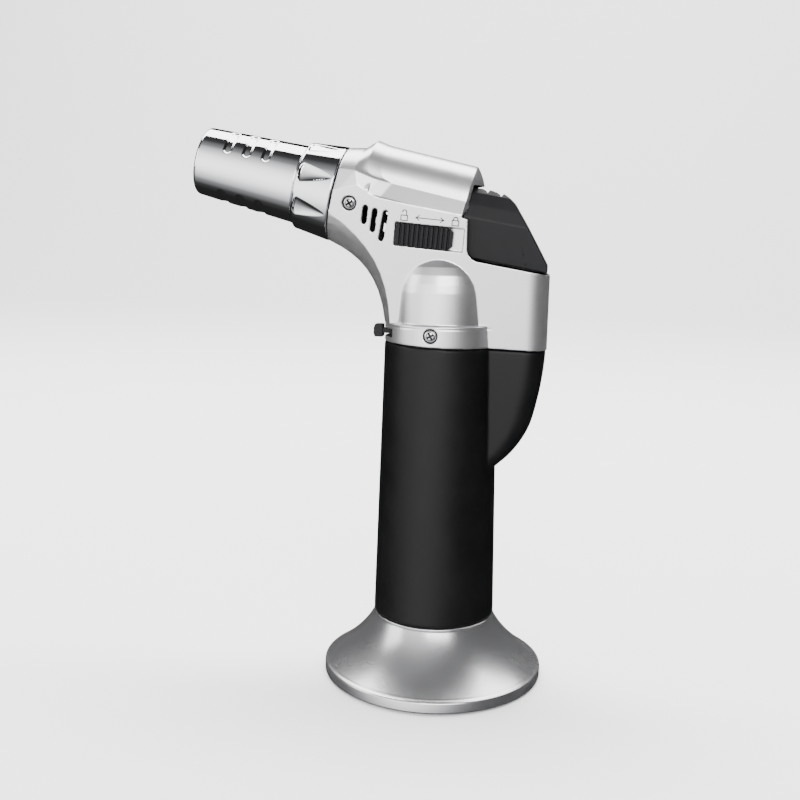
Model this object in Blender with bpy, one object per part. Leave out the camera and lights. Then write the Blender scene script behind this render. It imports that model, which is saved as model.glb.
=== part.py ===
"""Butane hand torch. Sizes are in millimetres and are turned into metres as each mesh is made.

Frame: +Z runs up the handle, +X is the way the flame points, +Y is the side with the lock slider.
The origin is under the middle of the whole torch, on the plane that the base stands on."""

import math

import bmesh
import bpy
import numpy as np
from mathutils import Matrix, Vector

MM = 0.001
ROUND = 28  # sides of a large round part
SMALL_ROUND = 12  # sides of a small round part
GAP = 0.3  # between neighbouring parts
FIT = 0.35  # running clearance of a moving part
WELD = 0.003  # points nearer than this become one after a cut

# Base and handle
BASE_R = 27.0
BASE_RIM = 2.9
BASE_FLARE_TOP = 15.6
BASE_NECK_R = 14.9
BASE_WALL = 1.6
REFILL_HOLE_R = 5.5
SLEEVE_BOTTOM_R = 14.86
SLEEVE_TOP_R = 13.5
SLEEVE_BORE_R = 12.1
PARTING_Z = 82.7  # the head meets the sleeve here
PARTING_TILT = math.radians(1.8)  # that joint drops towards the rear
FIN_REAR_X = -25.0
FIN_ROOT_Z = 52.0
FIN_HALF = 6.4

# Fuel tank and valves
TANK_R = SLEEVE_BORE_R - GAP
TANK_WALL = 1.0
TANK_BOTTOM = 12.0
TANK_TOP = 70.0
CAP_THICK = 3.0
SPIGOT_R = SLEEVE_BORE_R - 0.5
SPIGOT_WALL = 1.5
SPIGOT_TOP = 86.5
VALVE_R = 3.4
VALVE_TOP = 87.4
STEM_R = 0.9
REFILL_R = 4.0
REFILL_BOTTOM = 3.2

# Head
HEAD_WALL = 1.5
SEAM_GAP = 0.15  # between the two head shells
PANEL_HALF = 7.0  # half width between the flat side panels, at PANEL_Z
PANEL_Z = 85.0
PANEL_SLOPE = 0.12  # the panels spread by this much per unit of height
BOX_REAR_X = -25.4
BOX_CORNER_R = 5.0
BAND_R = 13.5
BAND_TOP = 87.5
DOME_R = 11.9
DOME_CENTRE_Z = 95.0

# Barrel axis: it lies in the middle plane and rises towards the mouth
BARREL_Z = 111.67  # height where it crosses the handle's axis
BARREL_TILT = math.radians(12.65)
MOUTH_AT = 60.2
COLLAR_FRONT = 35.3
COLLAR_REAR = 25.5
MOUTH_R = 8.04
BARREL_REAR_R = 9.31
COLLAR_FRONT_R = 10.15
COLLAR_REAR_R = 11.22
BARREL_BORE_R = 6.9
NOSE_R = 12.1  # nose where the hump's chamfer starts
NOSE_CHAMFER_AT = 21.6
HUMP_FRONT_AT = 19.3
HUMP_REAR_AT = -4.8
HUMP_R = 9.0
HUMP_RISE = 4.85  # hump's own axis above the barrel axis
HUMP_EDGE = 5.4  # where the hump meets its shoulder
HUMP_LIP = 0.5
HUMP_CAP = 3.6
SHOULDER_SLOPE = 0.41
SHOULDER_FOOT = 1.6  # the side panels end this far above the barrel axis

# Trigger
TRIGGER_TILT = math.radians(9.8)
TRIGGER_FRONT_X = -6.4
TRIGGER_BOTTOM = (-8.8, 102.4)
TRIGGER_TOP = 119.2
TRIGGER_TRAVEL = 4.5
TRIGGER_CORNER_R = 3.0

# Lock slider on the left panel
WINDOW_CENTRE = (2.4, 107.7)
WINDOW_TILT = math.radians(4.9)
WINDOW_DEPTH = 0.85
KNOB = (13.3, 4.9)
KNOB_NECK = 6.5
LOCK_TRAVEL = 2.0
WINDOW = (KNOB[0] + LOCK_TRAVEL + 0.7, KNOB[1] + 0.5)

# Screws and vents: places on the side panels as (x, z)
SCREW_HEAD_R = 1.4
SCREW_R = 0.8
FRONT_SCREW = (20.9, 115.05)
BAND_SCREW = (1.1, 85.3)
VENTS = (((17.1, 114.1), (17.5, 111.0)), ((14.9, 113.4), (15.5, 109.2)), ((12.4, 113.0), (13.5, 107.2)))
VENT_R = 0.62

AXIS_X = -(MOUTH_AT * math.cos(BARREL_TILT) + MOUTH_R * math.sin(BARREL_TILT) - BASE_R) / 2


# ---------------------------------------------------------------- making things

def material(name, colour, roughness, metallic):
    made = bpy.data.materials.new(name)
    made.use_nodes = True
    shader = made.node_tree.nodes["Principled BSDF"]
    shader.inputs["Base Color"].default_value = (*colour, 1)
    shader.inputs["Roughness"].default_value = roughness
    shader.inputs["Metallic"].default_value = metallic
    made.diffuse_color = (*colour, 1)
    return made


def empty(name, parent=None, matrix=Matrix()):
    made = bpy.data.objects.new(name, None)
    bpy.context.scene.collection.objects.link(made)
    made.parent = parent
    made.matrix_local = matrix
    return made


def new_object(name, bm, look, parent, place=Matrix()):
    """An object whose mesh is given in millimetres, in the frame of its parent."""
    bmesh.ops.recalc_face_normals(bm, faces=bm.faces)
    bmesh.ops.scale(bm, vec=(MM, MM, MM), verts=bm.verts)
    mesh = bpy.data.meshes.new(name)
    bm.to_mesh(mesh)
    bm.free()
    mesh.materials.append(look)
    mesh.shade_smooth()
    mesh.set_sharp_from_angle(angle=math.radians(35))
    made = bpy.data.objects.new(name, mesh)
    bpy.context.scene.collection.objects.link(made)
    made.parent = parent
    made.matrix_local = place
    return made


def at(x, y, z):
    return Matrix.Translation((x * MM, y * MM, z * MM))


def turned(profile, sides=ROUND):
    """A solid of revolution about Z, from (radius, height) points. One that ends on the axis is closed there."""
    bm = bmesh.new()
    rings = []
    for radius, height in profile:
        if radius < 1e-6:
            rings.append([bm.verts.new((0, 0, height))])
            continue
        turn = [2 * math.pi * (i + 0.5) / sides for i in range(sides)]
        rings.append([bm.verts.new((radius * math.cos(a), radius * math.sin(a), height)) for a in turn])
    pairs = list(zip(rings, rings[1:]))
    if len(rings[0]) > 1:
        pairs.append((rings[-1], rings[0]))
    for lower, upper in pairs:
        for i in range(sides):
            j = (i + 1) % sides
            corners = [lower[i % len(lower)], lower[j % len(lower)]]
            corners += [upper[j % len(upper)], upper[i % len(upper)]]
            corners = [v for k, v in enumerate(corners) if v not in corners[:k]]
            if len(corners) > 2:
                bm.faces.new(corners)
    return bm


def loft(sections):
    """Skins sections that hold the same number of points, and closes both ends."""
    bm = bmesh.new()
    rings = [[bm.verts.new(point) for point in section] for section in sections]
    for one, two in zip(rings, rings[1:]):
        for i in range(len(one)):
            j = (i + 1) % len(one)
            bm.faces.new((one[i], one[j], two[j], two[i]))
    bm.faces.new(rings[0][::-1])
    bm.faces.new(rings[-1])
    bmesh.ops.triangulate(bm, faces=[f for f in bm.faces if len(f.verts) > 4])
    return bm


def prism(outline, low, high):
    """An outline of (x, z) points drawn out along Y from low to high."""
    return loft([[(x, y, z) for x, z in outline] for y in (low, high)])


def slab(size, centre=(0, 0, 0)):
    bm = bmesh.new()
    bmesh.ops.create_cube(bm, size=1)
    bmesh.ops.scale(bm, vec=size, verts=bm.verts)
    bmesh.ops.translate(bm, vec=centre, verts=bm.verts)
    return bm


def rounded(corners):
    """An outline whose corners (x, z, radius) are rounded with short arcs."""
    points = []
    for i, (x, z, radius) in enumerate(corners):
        here = Vector((x, z))
        if radius == 0:
            points.append((x, z))
            continue
        before = (Vector(corners[i - 1][:2]) - here).normalized()
        after = (Vector(corners[(i + 1) % len(corners)][:2]) - here).normalized()
        half = before.angle(after) / 2
        centre = here + (before + after).normalized() * radius / math.sin(half)
        start = (here + before * radius / math.tan(half)) - centre
        end = (here + after * radius / math.tan(half)) - centre
        sweep = start.angle_signed(end)
        steps = max(2, round(abs(sweep) / 0.35))
        for k in range(steps + 1):
            turn = -sweep * k / steps
            c, s = math.cos(turn), math.sin(turn)
            points.append((centre.x + start.x * c - start.y * s, centre.y + start.x * s + start.y * c))
    return points


def arc(centre, radius, start, end, steps):
    turn = [math.radians(start + (end - start) * i / steps) for i in range(steps + 1)]
    return [(centre[0] + radius * math.cos(a), centre[1] + radius * math.sin(a)) for a in turn]


def apply_modifiers(target):
    graph = bpy.context.evaluated_depsgraph_get()
    mesh = bpy.data.meshes.new_from_object(target.evaluated_get(graph))
    target.modifiers.clear()
    target.data = mesh
    bm = bmesh.new()
    bm.from_mesh(mesh)
    bmesh.ops.remove_doubles(bm, verts=bm.verts, dist=WELD * MM)
    bmesh.ops.dissolve_degenerate(bm, edges=bm.edges, dist=WELD * MM)
    bm.to_mesh(mesh)
    bm.free()
    mesh.shade_smooth()
    mesh.set_sharp_from_angle(angle=math.radians(35))


def combine(target, operation, *tools):
    """Joins, cuts or intersects the target with each tool, and removes the tools."""
    for tool in tools:
        step = target.modifiers.new(operation.lower(), "BOOLEAN")
        step.operation = operation
        step.object = tool
        bpy.context.view_layer.update()
        apply_modifiers(target)
        bpy.data.objects.remove(tool)
    return target


def tool(bm, parent, place=Matrix()):
    return new_object("tool", bm, SATIN_SILVER, parent, place)


def along_y(place_x, place_z, y=0.0):
    """Turns a part made about Z so that it lies along +Y."""
    return at(place_x, y, place_z) @ Matrix.Rotation(-math.pi / 2, 4, "X")


def tube_object(name, route, radius, look, parent, spacing):
    """A bendy round tube along a smooth curve through the route's points."""
    knots = [Vector(p) for p in route]
    ends = [2 * knots[0] - knots[1], *knots, 2 * knots[-1] - knots[-2]]
    dense = []
    for a, b, c, d in zip(ends, ends[1:], ends[2:], ends[3:]):
        for t in np.linspace(0, 1, max(2, round((c - b).length / spacing)), endpoint=False):
            dense.append(0.5 * (2 * b + (c - a) * t + (2 * a - 5 * b + 4 * c - d) * t**2
                                + (3 * b - a - 3 * c + d) * t**3))
    dense.append(knots[-1])
    curve = bpy.data.curves.new(name, "CURVE")
    curve.dimensions = "3D"
    curve.bevel_depth = radius * MM
    curve.bevel_resolution = 2
    curve.use_fill_caps = True
    spline = curve.splines.new("POLY")
    spline.points.add(len(dense) - 1)
    for point, place in zip(spline.points, dense):
        point.co = (*(place * MM), 1)
    curve.materials.append(look)
    made = bpy.data.objects.new(name, curve)
    bpy.context.scene.collection.objects.link(made)
    made.parent = parent
    return made


def coil(radius, wire, turns, low, high, per_turn=10, sides=5):
    """A compression spring about Z with closed ends."""
    count = int(turns * per_turn) + 1
    sections = []
    for i in range(count):
        t = i / (count - 1)
        a = 2 * math.pi * turns * t
        centre = Vector((radius * math.cos(a), radius * math.sin(a), low + wire + (high - low - 2 * wire) * t))
        out = Vector((math.cos(a), math.sin(a), 0))
        ring = [2 * math.pi * k / sides for k in range(sides)]
        sections.append([centre + wire * (out * math.cos(b) + Vector((0, 0, math.sin(b)))) for b in ring])
    return loft(sections)


# ---------------------------------------------------------------- shared geometry

def panel_half(z, inset=0.0):
    """Half width between the side panels at a height."""
    return PANEL_HALF + PANEL_SLOPE * (z - PANEL_Z) - inset


def panel_place(x, z, side=1, tilt=0.0):
    """A frame on a side panel: Z points out of it and X runs along the torch, raised by the tilt."""
    out = Vector((0, side, -PANEL_SLOPE)).normalized()
    up = Vector((0, side * PANEL_SLOPE, 1)).normalized()
    along = (Vector((1, 0, 0)) * math.cos(tilt) + up * math.sin(tilt)) * side
    across = out.cross(along)
    turn = Matrix((along, across, out)).transposed().to_4x4()
    return at(x, side * panel_half(z), z) @ turn


def barrel_point(along, up):
    """(x, z) of a point in the middle plane, from its place along the barrel axis and above it."""
    c, s = math.cos(BARREL_TILT), math.sin(BARREL_TILT)
    return along * c - up * s, BARREL_Z + along * s + up * c


def trigger_line(x):
    """Height of the line that the trigger slides on."""
    return TRIGGER_BOTTOM[1] + math.tan(TRIGGER_TILT) * (x - TRIGGER_BOTTOM[0])


def plan_section(z, front_x, rear_x, half, corner):
    """A level outline, blunt in front and round at its two rear corners."""
    points = [(front_x, -half, z), (front_x, half, z)]
    for centre_y, start in ((half - corner, 90), (corner - half, 180)):
        for x, y in arc((rear_x + corner, centre_y), corner, start, start + 90, 5):
            points.append((x, y, z))
    return points


def parting_cutter(above, offset=0.0):
    """Everything above or below the tilted joint between head and sleeve."""
    height = 80.0
    middle = height / 2 if above else -height / 2
    place = at(0, 0, PARTING_Z + offset) @ Matrix.Rotation(-PARTING_TILT, 4, "Y")
    return tool(slab((120, 120, height), (0, 0, middle)), FRAME, place)


# ---------------------------------------------------------------- base and handle

def base_stand():
    flare = []
    for i in range(6):
        t = i / 5
        a, b, c = (1 - t) ** 2, 2 * t * (1 - t), t * t
        flare.append((a * (BASE_R - 0.4) + b * 18.2 + c * BASE_NECK_R,
                      a * BASE_RIM + b * 8.5 + c * BASE_FLARE_TOP))
    floor = TANK_BOTTOM - GAP
    boss = REFILL_HOLE_R + BASE_WALL
    profile = [(BASE_R - 2.4, 0), (BASE_R - 0.4, 0), (BASE_R, 0.4), (BASE_R, BASE_RIM - 0.5), *flare,
               (SLEEVE_BORE_R, BASE_FLARE_TOP), (SLEEVE_BORE_R, floor), (REFILL_HOLE_R, floor),
               (REFILL_HOLE_R, 4.0), (boss, 4.0), (boss, floor - BASE_WALL),
               (SLEEVE_BORE_R + 0.8, floor - BASE_WALL), (17.4, 8.0), (22.6, 4.2), (BASE_R - 2.6, 2.6)]
    return new_object("base_stand", turned(profile, 40), SATIN_SILVER, FRAME)


def fin_sections(inset, low):
    stations = [(84.5, FIN_REAR_X - 0.3, 5.0), (77.0, FIN_REAR_X + 0.2, 5.0), (70.0, FIN_REAR_X + 1.3, 5.0),
                (63.0, FIN_REAR_X + 3.2, 4.8), (57.0, FIN_REAR_X + 7.0, 4.6), (FIN_ROOT_Z, -12.6, 4.4)]
    return [plan_section(z, -6.0, rear + inset, FIN_HALF - inset, corner - inset)
            for z, rear, corner in stations if z > low]


def handle_sleeve():
    bottom = BASE_FLARE_TOP + GAP
    top = 86.0
    taper = (SLEEVE_TOP_R - SLEEVE_BOTTOM_R) / (PARTING_Z - BASE_FLARE_TOP)
    profile = [(0, bottom), (SLEEVE_BOTTOM_R - 0.25, bottom), (SLEEVE_BOTTOM_R, bottom + 0.4),
               (SLEEVE_TOP_R + taper * (top - PARTING_Z), top), (0, top)]
    sleeve = new_object("handle_sleeve", turned(profile, 40), BLACK_SLEEVE, FRAME)
    combine(sleeve, "UNION", tool(loft(fin_sections(0, 0)), FRAME))
    bore = turned([(0, 10), (SLEEVE_BORE_R, 10), (SLEEVE_BORE_R, 90), (0, 90)])
    sections = fin_sections(1.6, 60)
    pocket = [[(min(x, -SLEEVE_BORE_R - 1.6), y, z + 1.0) for x, y, z in ring] for ring in sections]
    combine(sleeve, "DIFFERENCE", tool(bore, FRAME), tool(loft(pocket), FRAME), parting_cutter(True, -GAP))
    return sleeve


# ---------------------------------------------------------------- tank and valves

def fuel_tank():
    floor = TANK_BOTTOM + 2.0
    bore = REFILL_R + FIT
    profile = [(bore, TANK_BOTTOM), (TANK_R, TANK_BOTTOM), (TANK_R, TANK_TOP), (TANK_R - TANK_WALL, TANK_TOP),
               (TANK_R - TANK_WALL, floor), (bore, floor)]
    return new_object("fuel_tank", turned(profile), CLEAR_TANK, FRAME)


def adjuster_slot(reach, half):
    return tool(slab((8.0, 2 * half, 2.0), (reach, 0, 85.2)), FRAME)


def tank_cap():
    low = TANK_TOP + GAP
    high = low + CAP_THICK
    hole = VALVE_R + GAP
    profile = [(hole, low), (TANK_R, low), (TANK_R, high), (SPIGOT_R, high), (SPIGOT_R, SPIGOT_TOP),
               (SPIGOT_R - SPIGOT_WALL, SPIGOT_TOP), (SPIGOT_R - SPIGOT_WALL, high), (hole, high)]
    cap = new_object("tank_cap", turned(profile), BLACK_PLASTIC, FRAME)
    combine(cap, "DIFFERENCE", adjuster_slot(SPIGOT_R + 0.4, 7.6))
    screw_hole = turned([(0, -20), (SCREW_R + GAP, -20), (SCREW_R + GAP, 20), (0, 20)], 12)
    return combine(cap, "DIFFERENCE", tool(screw_hole, FRAME, along_y(*BAND_SCREW)))


def wick_tube():
    return new_object("wick_tube", turned([(0.8, 20.6), (1.6, 20.6), (1.6, 65.7), (0.8, 65.7)], 12),
                      CREAM, FRAME)


def outlet_valve_body():
    foot = TANK_TOP + GAP + CAP_THICK + GAP
    bore = STEM_R + GAP
    profile = [(0.7, 66), (2.6, 66), (VALVE_R, 66.8), (VALVE_R, foot), (5.0, foot), (5.0, foot + 1.4),
               (VALVE_R, foot + 1.4), (VALVE_R, VALVE_TOP - 0.5), (VALVE_R - 0.5, VALVE_TOP),
               (bore, VALVE_TOP), (bore, 79), (0.7, 79)]
    return new_object("outlet_valve_body", turned(profile, 18), BRASS, FRAME)


def outlet_valve_stem():
    profile = [(0, 80), (STEM_R, 80), (STEM_R, 91.6), (2.0, 91.6), (2.0, 92.6), (STEM_R, 92.6),
               (STEM_R, 93.6), (1.25, 94.0), (0.7, 95.2), (0, 95.2)]
    return new_object("outlet_valve_stem", turned(profile, SMALL_ROUND), BRASS, FRAME)


def flame_adjuster():
    low, high = 84.6, 85.8
    ring = turned([(VALVE_R + FIT, low), (6.4, low), (6.4, high), (VALVE_R + FIT, high)], 20)
    adjuster = new_object("flame_adjuster", ring, BLACK_PLASTIC, FRAME)
    arm = prism([(5.4, low), (15.0, low), (15.0, high), (5.4, high)], -1.4, 1.4)
    thumb = prism([(14.1, low - 0.9), (15.9, low - 0.9), (16.2, low), (16.2, high), (15.9, high + 0.9),
                   (14.1, high + 0.9)], -1.9, 1.9)
    return combine(adjuster, "UNION", tool(arm, FRAME), tool(thumb, FRAME))


def lever_pivot():
    return empty("lever_pivot", FRAME, at(3.4, 0, 90.0))


def valve_lever():
    """A bell crank: the trigger pushes its tall arm forward, and its fork lifts the valve stem."""
    pivot = lever_pivot()
    hub = turned([(SCREW_R + FIT, -6.3), (2.1, -6.3), (2.1, 2.6), (SCREW_R + FIT, 2.6)], 20)
    lever = new_object("valve_lever", hub, BLACK_PLASTIC, pivot)
    lever.data.transform(Matrix.Rotation(-math.pi / 2, 4, "X"))
    tall_arm = prism([(-1.2, 1.6), (1.2, 1.6), (1.2, 15.6), (0.6, 16.2), (-1.2, 16.2)], -6.3, -3.7)
    combine(lever, "UNION", tool(tall_arm, pivot))
    for low, high in ((1.3, 2.6), (-2.6, -1.3)):
        tine = prism([(-4.4, 0.2), (-1.4, -0.6), (-1.4, 1.2), (-4.4, 1.2)], low, high)
        combine(lever, "UNION", tool(tine, pivot))
    return lever


def lever_pin():
    return new_object("lever_pin", turned([(0, -7.6), (SCREW_R, -7.6), (SCREW_R, 7.6), (0, 7.6)], SMALL_ROUND),
                      STEEL, FRAME, along_y(3.4, 90.0))


def refill_valve():
    bore = 0.8 + FIT
    chamber = 3.0
    flange = TANK_BOTTOM + 2.0 + GAP + 0.8 + GAP
    profile = [(bore, REFILL_BOTTOM), (REFILL_R, REFILL_BOTTOM), (REFILL_R, flange), (5.5, flange),
               (5.5, flange + 1.2), (REFILL_R, flange + 1.2), (REFILL_R, 20), (bore, 20), (bore, 13),
               (chamber, 13), (chamber, 5), (bore, 5)]
    new_object("refill_valve_body", turned(profile, 18), BRASS, FRAME)
    stem = [(0, 2.4), (0.8, 2.4), (0.8, 5.3), (2.6, 5.3), (2.6, 6.3), (0.8, 6.3), (0.8, 11.2), (0, 11.2)]
    new_object("refill_valve_stem", turned(stem, SMALL_ROUND), STEEL, FRAME)
    new_object("refill_valve_spring", coil(2.1, 0.3, 5, 6.6, 12.7), STEEL, FRAME)
    low = TANK_BOTTOM + 2.0 + GAP
    gasket = [(REFILL_R + GAP, low), (5.4, low), (5.4, low + 0.8), (REFILL_R + GAP, low + 0.8)]
    new_object("refill_gasket", turned(gasket, 18), BLACK_RUBBER, FRAME)


# ---------------------------------------------------------------- barrel and burner

def barrel_and_burner():
    turns = np.linspace(math.pi / 2, 0.2, 4)
    edge = [(MOUTH_R - 1.0 + math.sin(a), MOUTH_AT - 1.0 + math.cos(a)) for a in turns]
    barrel = [(8.7, 30.6), (8.7, COLLAR_FRONT - 0.2), (BARREL_REAR_R, COLLAR_FRONT), *edge,
              (BARREL_BORE_R, MOUTH_AT - 0.3), (BARREL_BORE_R, 30.6)]
    new_object("nozzle_barrel", turned(barrel, 36), CHROME, BARREL)
    low, high = COLLAR_REAR + GAP, COLLAR_FRONT - GAP
    collar = [(8.7 + GAP, low), (COLLAR_REAR_R, low), (COLLAR_REAR_R, low + 0.5), (COLLAR_FRONT_R + 0.15, high - 0.6),
              (BARREL_REAR_R + 0.35, high), (8.7 + GAP, high)]
    new_object("nozzle_collar", turned(collar, 36), CHROME, BARREL)

    ring = [(4.0, 19.5), (8.5, 19.5), (8.5, 30.0), (4.0, 30.0)]
    mount = new_object("burner_mount", turned(ring, 24), CAST_METAL,
                       BARREL)
    port = [(0, 18), (1.5, 18), (1.5, 32), (0, 32)]
    for i in range(6):
        turn = math.radians(60 * i)
        place = at(6.2 * math.cos(turn), 6.2 * math.sin(turn), 0)
        combine(mount, "DIFFERENCE", tool(turned(port, 8), BARREL, place))
    tapped = turned([(0, -6), (SCREW_R + GAP, -6), (SCREW_R + GAP, 6), (0, 6)], 12)
    screw_place = panel_place(*FRONT_SCREW) @ at(0, 0, -5.0)
    combine(mount, "DIFFERENCE", tool(tapped, FRAME, screw_place))

    jet = [(0.5, 19.0), (1.3, 19.0), (1.3, 21.0), (3.7, 21.5), (3.7, 26.2), (2.2, 27.2), (2.2, 29.4), (0.9, 29.9),
           (0.5, 29.9)]
    new_object("gas_jet", turned(jet, 16), BRASS, BARREL)
    tube = new_object("mixing_tube", turned([(3.2, 30.3), (5.2, 30.3), (5.2, 31.2), (4.1, 31.2), (4.1, 48.0),
                                             (3.2, 48.0)], 18), BRASS, BARREL)
    for i in range(3):
        turn = Matrix.Rotation(math.radians(60 * i + 30), 4, "Z")
        air = turned([(0, -8), (1.1, -8), (1.1, 8), (0, 8)], 8)
        combine(tube, "DIFFERENCE", tool(air, BARREL, at(0, 0, 33.6) @ turn @ Matrix.Rotation(math.pi / 2, 4, "X")))
    tip = new_object("burner_tip", turned([(0, 48.3), (4.2, 48.3), (4.8, 49.2), (4.8, 53.0), (0, 53.0)], 20),
                     STAINLESS, BARREL)
    flame_port = [(0, 47), (0.8, 47), (0.8, 54), (0, 54)]
    for i in range(7):
        reach = 0 if i == 6 else 3.2
        turn = math.radians(60 * i)
        place = at(reach * math.cos(turn), reach * math.sin(turn), 0)
        combine(tip, "DIFFERENCE", tool(turned(flame_port, 8), BARREL, place))


def igniter():
    """The spark lead runs through the mount's side port at 180 degrees, on the upper side of the barrel."""
    reach = 5.6
    insulator = [(0.7, 36), (1.0, 36), (1.0, 46.5), (0.7, 46.5)]
    new_object("electrode_insulator", turned(insulator, 12), CERAMIC, BARREL, at(-reach, 0, 0))
    new_object("electrode", turned([(0, 33.5), (0.42, 33.5), (0.42, 50.4), (0, 50.4)], 10), STEEL, BARREL,
               at(-reach, 0, 0))
    places = [barrel_point(*place) for place in ((17.9, 5.4), (19.2, 6.0), (22, 6.2), (27, 6.2), (31, 6.1),
                                                 (33.1, 5.6))]
    route = [(x, 0, z) for x, z in places]
    tube_object("ignition_lead", route, 0.5, RED_LEAD, FRAME, 1.5)


def piezo_place():
    return at(0, 0, 114.6) @ Matrix.Rotation(-TRIGGER_TILT, 4, "Y")


def piezo():
    """The igniter block lies under the hump, in line with the trigger's travel."""
    place = piezo_place()
    body = new_object("piezo_body", slab((12.8, 6.8, 7.0), (6.8, 0, 0)), DARK_PLASTIC, FRAME, place)
    flat = Matrix.Rotation(math.pi / 2, 4, "Y")
    bore = turned([(0, -1), (1.5 + FIT, -1), (1.5 + FIT, 11), (0, 11)], SMALL_ROUND)
    combine(body, "DIFFERENCE", tool(bore, FRAME, place @ flat))
    plunger = [(0, -10.9), (2.7, -10.9), (2.7, -9.8), (1.5, -9.8), (1.5, 4.6), (0, 4.6)]
    new_object("piezo_plunger", turned(plunger, SMALL_ROUND), WHITE_PLASTIC, FRAME, place @ flat)
    new_object("piezo_spring", coil(2.15, 0.3, 5, -9.5, 0.1), STEEL, FRAME, place @ flat)


def gas_hose():
    x, z = barrel_point(18.15, -0.45)
    route = [(0, 0, 96.6), (0.1, 0, 98.2), (0.9, 0, 100.8), (3.2, 0, 104.0), (6.6, 0, 107.2),
             (x - 7.1, 0, z - 5.4), (x - 3.7, 0, z - 3.3), (x - 1.4, 0, z - 1.5), (x, 0, z)]
    tube_object("gas_hose", route, 1.0, CLEAR_HOSE, FRAME, 2.2)


# ---------------------------------------------------------------- head

def neck_sections(inset):
    """Round sections that turn from the barrel down into the handle, under a smooth curve."""
    x, z = barrel_point(COLLAR_REAR, -COLLAR_REAR_R)
    bends = ((x, z), (x - 7.34, z - 3.25), (15.0, 98.5), (BAND_R + 0.1, BAND_TOP - 0.1))
    a, b, c, d = (Vector(p) for p in bends)
    sections = []
    for i in range(9):
        t = i / 8
        s = 1 - t
        foot = a * s**3 + b * 3 * s * s * t + c * 3 * s * t * t + d * t**3
        run = ((b - a) * s * s + (c - b) * 2 * s * t + (d - c) * t * t).normalized()
        inward = Vector((run.y, -run.x))
        radius = COLLAR_REAR_R + (BAND_R - COLLAR_REAR_R) * t
        centre = foot + inward * radius
        ring = [2 * math.pi * (k + 0.5) / ROUND for k in range(ROUND)]
        sections.append([(centre.x + inward.x * (radius - inset) * math.cos(q), (radius - inset) * math.sin(q),
                          centre.y + inward.y * (radius - inset) * math.cos(q)) for q in ring])
    return sections


def hump_profile(inset, lip):
    """The hump, its shoulders and the flanks below them, as points across the barrel axis (side, height)."""
    radius = HUMP_R + lip - inset
    first = math.degrees(math.asin((HUMP_EDGE - HUMP_RISE) / HUMP_R))
    upper = arc((0, HUMP_RISE), radius, first, 180 - first, 18)
    foot_y = HUMP_R + SHOULDER_SLOPE * (HUMP_EDGE + 0.8) - inset * 1.1
    corners = [(-foot_y, -0.8), (-foot_y, -4.0), (-7.0, -7.5), (7.0, -7.5), (foot_y, -4.0), (foot_y, -0.8)]
    lower = [Vector(a).lerp(Vector(b), t) for a, b in zip(corners, corners[1:]) for t in (0, 0.33, 0.67)]
    return [(foot_y, -0.8), *upper, *(tuple(p) for p in lower)]


def nose_and_hump(inset=0.0):
    """Drawn along the barrel axis: round at the collar, then a chamfer up to the hump and its shoulders."""
    lipped, plain = hump_profile(inset, HUMP_LIP), hump_profile(inset, 0.0)
    rear = HUMP_REAR_AT + inset
    front = COLLAR_REAR if inset == 0 else COLLAR_REAR + 3

    def circle(radius):
        return [tuple(Vector(p).normalized() * (radius - inset)) for p in plain]

    def chamfer_foot(height):
        return NOSE_CHAMFER_AT - 3.0 * min(1, max(0, (6.5 - height) / 4))

    def hump_front(height):
        lean = min(1, max(0, (9.0 - height) / 3.6))
        return HUMP_FRONT_AT - inset - 3.6 * (1 - math.sqrt(1 - lean**2))

    sections = [[(y, h, front) for y, h in circle(11.25)],
                [(y, h, chamfer_foot(h)) for y, h in circle(NOSE_R)],
                [(y, h, hump_front(h)) for y, h in lipped],
                [(y, h, hump_front(h) - 3.0) for y, h in plain],
                [(y, h, rear) for y, h in plain]]
    return loft([[(-h, y, d) for y, h, d in section] for section in sections])


def hump_cap():
    """The hump's rear end swells back like a lens."""
    radius = (HUMP_R**2 + HUMP_CAP**2) / (2 * HUMP_CAP)
    profile = [(HUMP_R * math.sin(i * math.pi / 16), 0) for i in range(9)]
    lens = [(r, HUMP_REAR_AT - HUMP_CAP + radius - math.sqrt(radius**2 - r**2)) for r, _ in profile]
    return turned([*lens, (HUMP_R - 0.6, HUMP_REAR_AT + 1.2), (0, HUMP_REAR_AT + 1.2)])


def dome_profile(inset):
    radius = DOME_R - inset
    turns = np.linspace(0, math.pi / 2, 10)
    crown = [(radius * math.cos(a), DOME_CENTRE_Z + radius * math.sin(a)) for a in turns]
    return [(0, PARTING_Z - 4), (radius, PARTING_Z - 4), *crown[:-1], (0, DOME_CENTRE_Z + radius)]


def head_solid(inset=0.0):
    """The head's outer form, or its cavity when the inset is the wall."""
    low = PARTING_Z - 3.5 - 4 * (inset > 0)
    corner = BOX_CORNER_R - inset
    rear = BOX_REAR_X + inset
    block = loft([plan_section(z, 8.0, rear, panel_half(z, inset), corner) for z in (low, 117.0 - inset)])
    below = tool(slab((80, 80, 160), (40 - SHOULDER_FOOT + inset, 0, 0)), BARREL)
    block = combine(tool(block, FRAME), "INTERSECT", below)
    above = tool(slab((80, 80, 40), (-40 - SHOULDER_FOOT + inset, 0, 17.5 - 20)), BARREL)
    solid = combine(tool(loft(neck_sections(inset)), FRAME), "DIFFERENCE", above)
    combine(solid, "UNION", tool(nose_and_hump(inset), BARREL), block)
    wedge = loft([[(-60, -panel_half(z, inset), z), (60, -panel_half(z, inset), z),
                   (60, panel_half(z, inset), z), (-60, panel_half(z, inset), z)] for z in (low - 1, 140)])
    combine(solid, "INTERSECT", tool(wedge, FRAME))
    band_radius, band_top = BAND_R - inset, BAND_TOP - 0.4 * inset
    band = turned([(0, low), (band_radius, low), (band_radius, band_top), (0, band_top)])
    return combine(solid, "UNION", tool(turned(dome_profile(inset)), FRAME), tool(band, FRAME))


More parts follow.
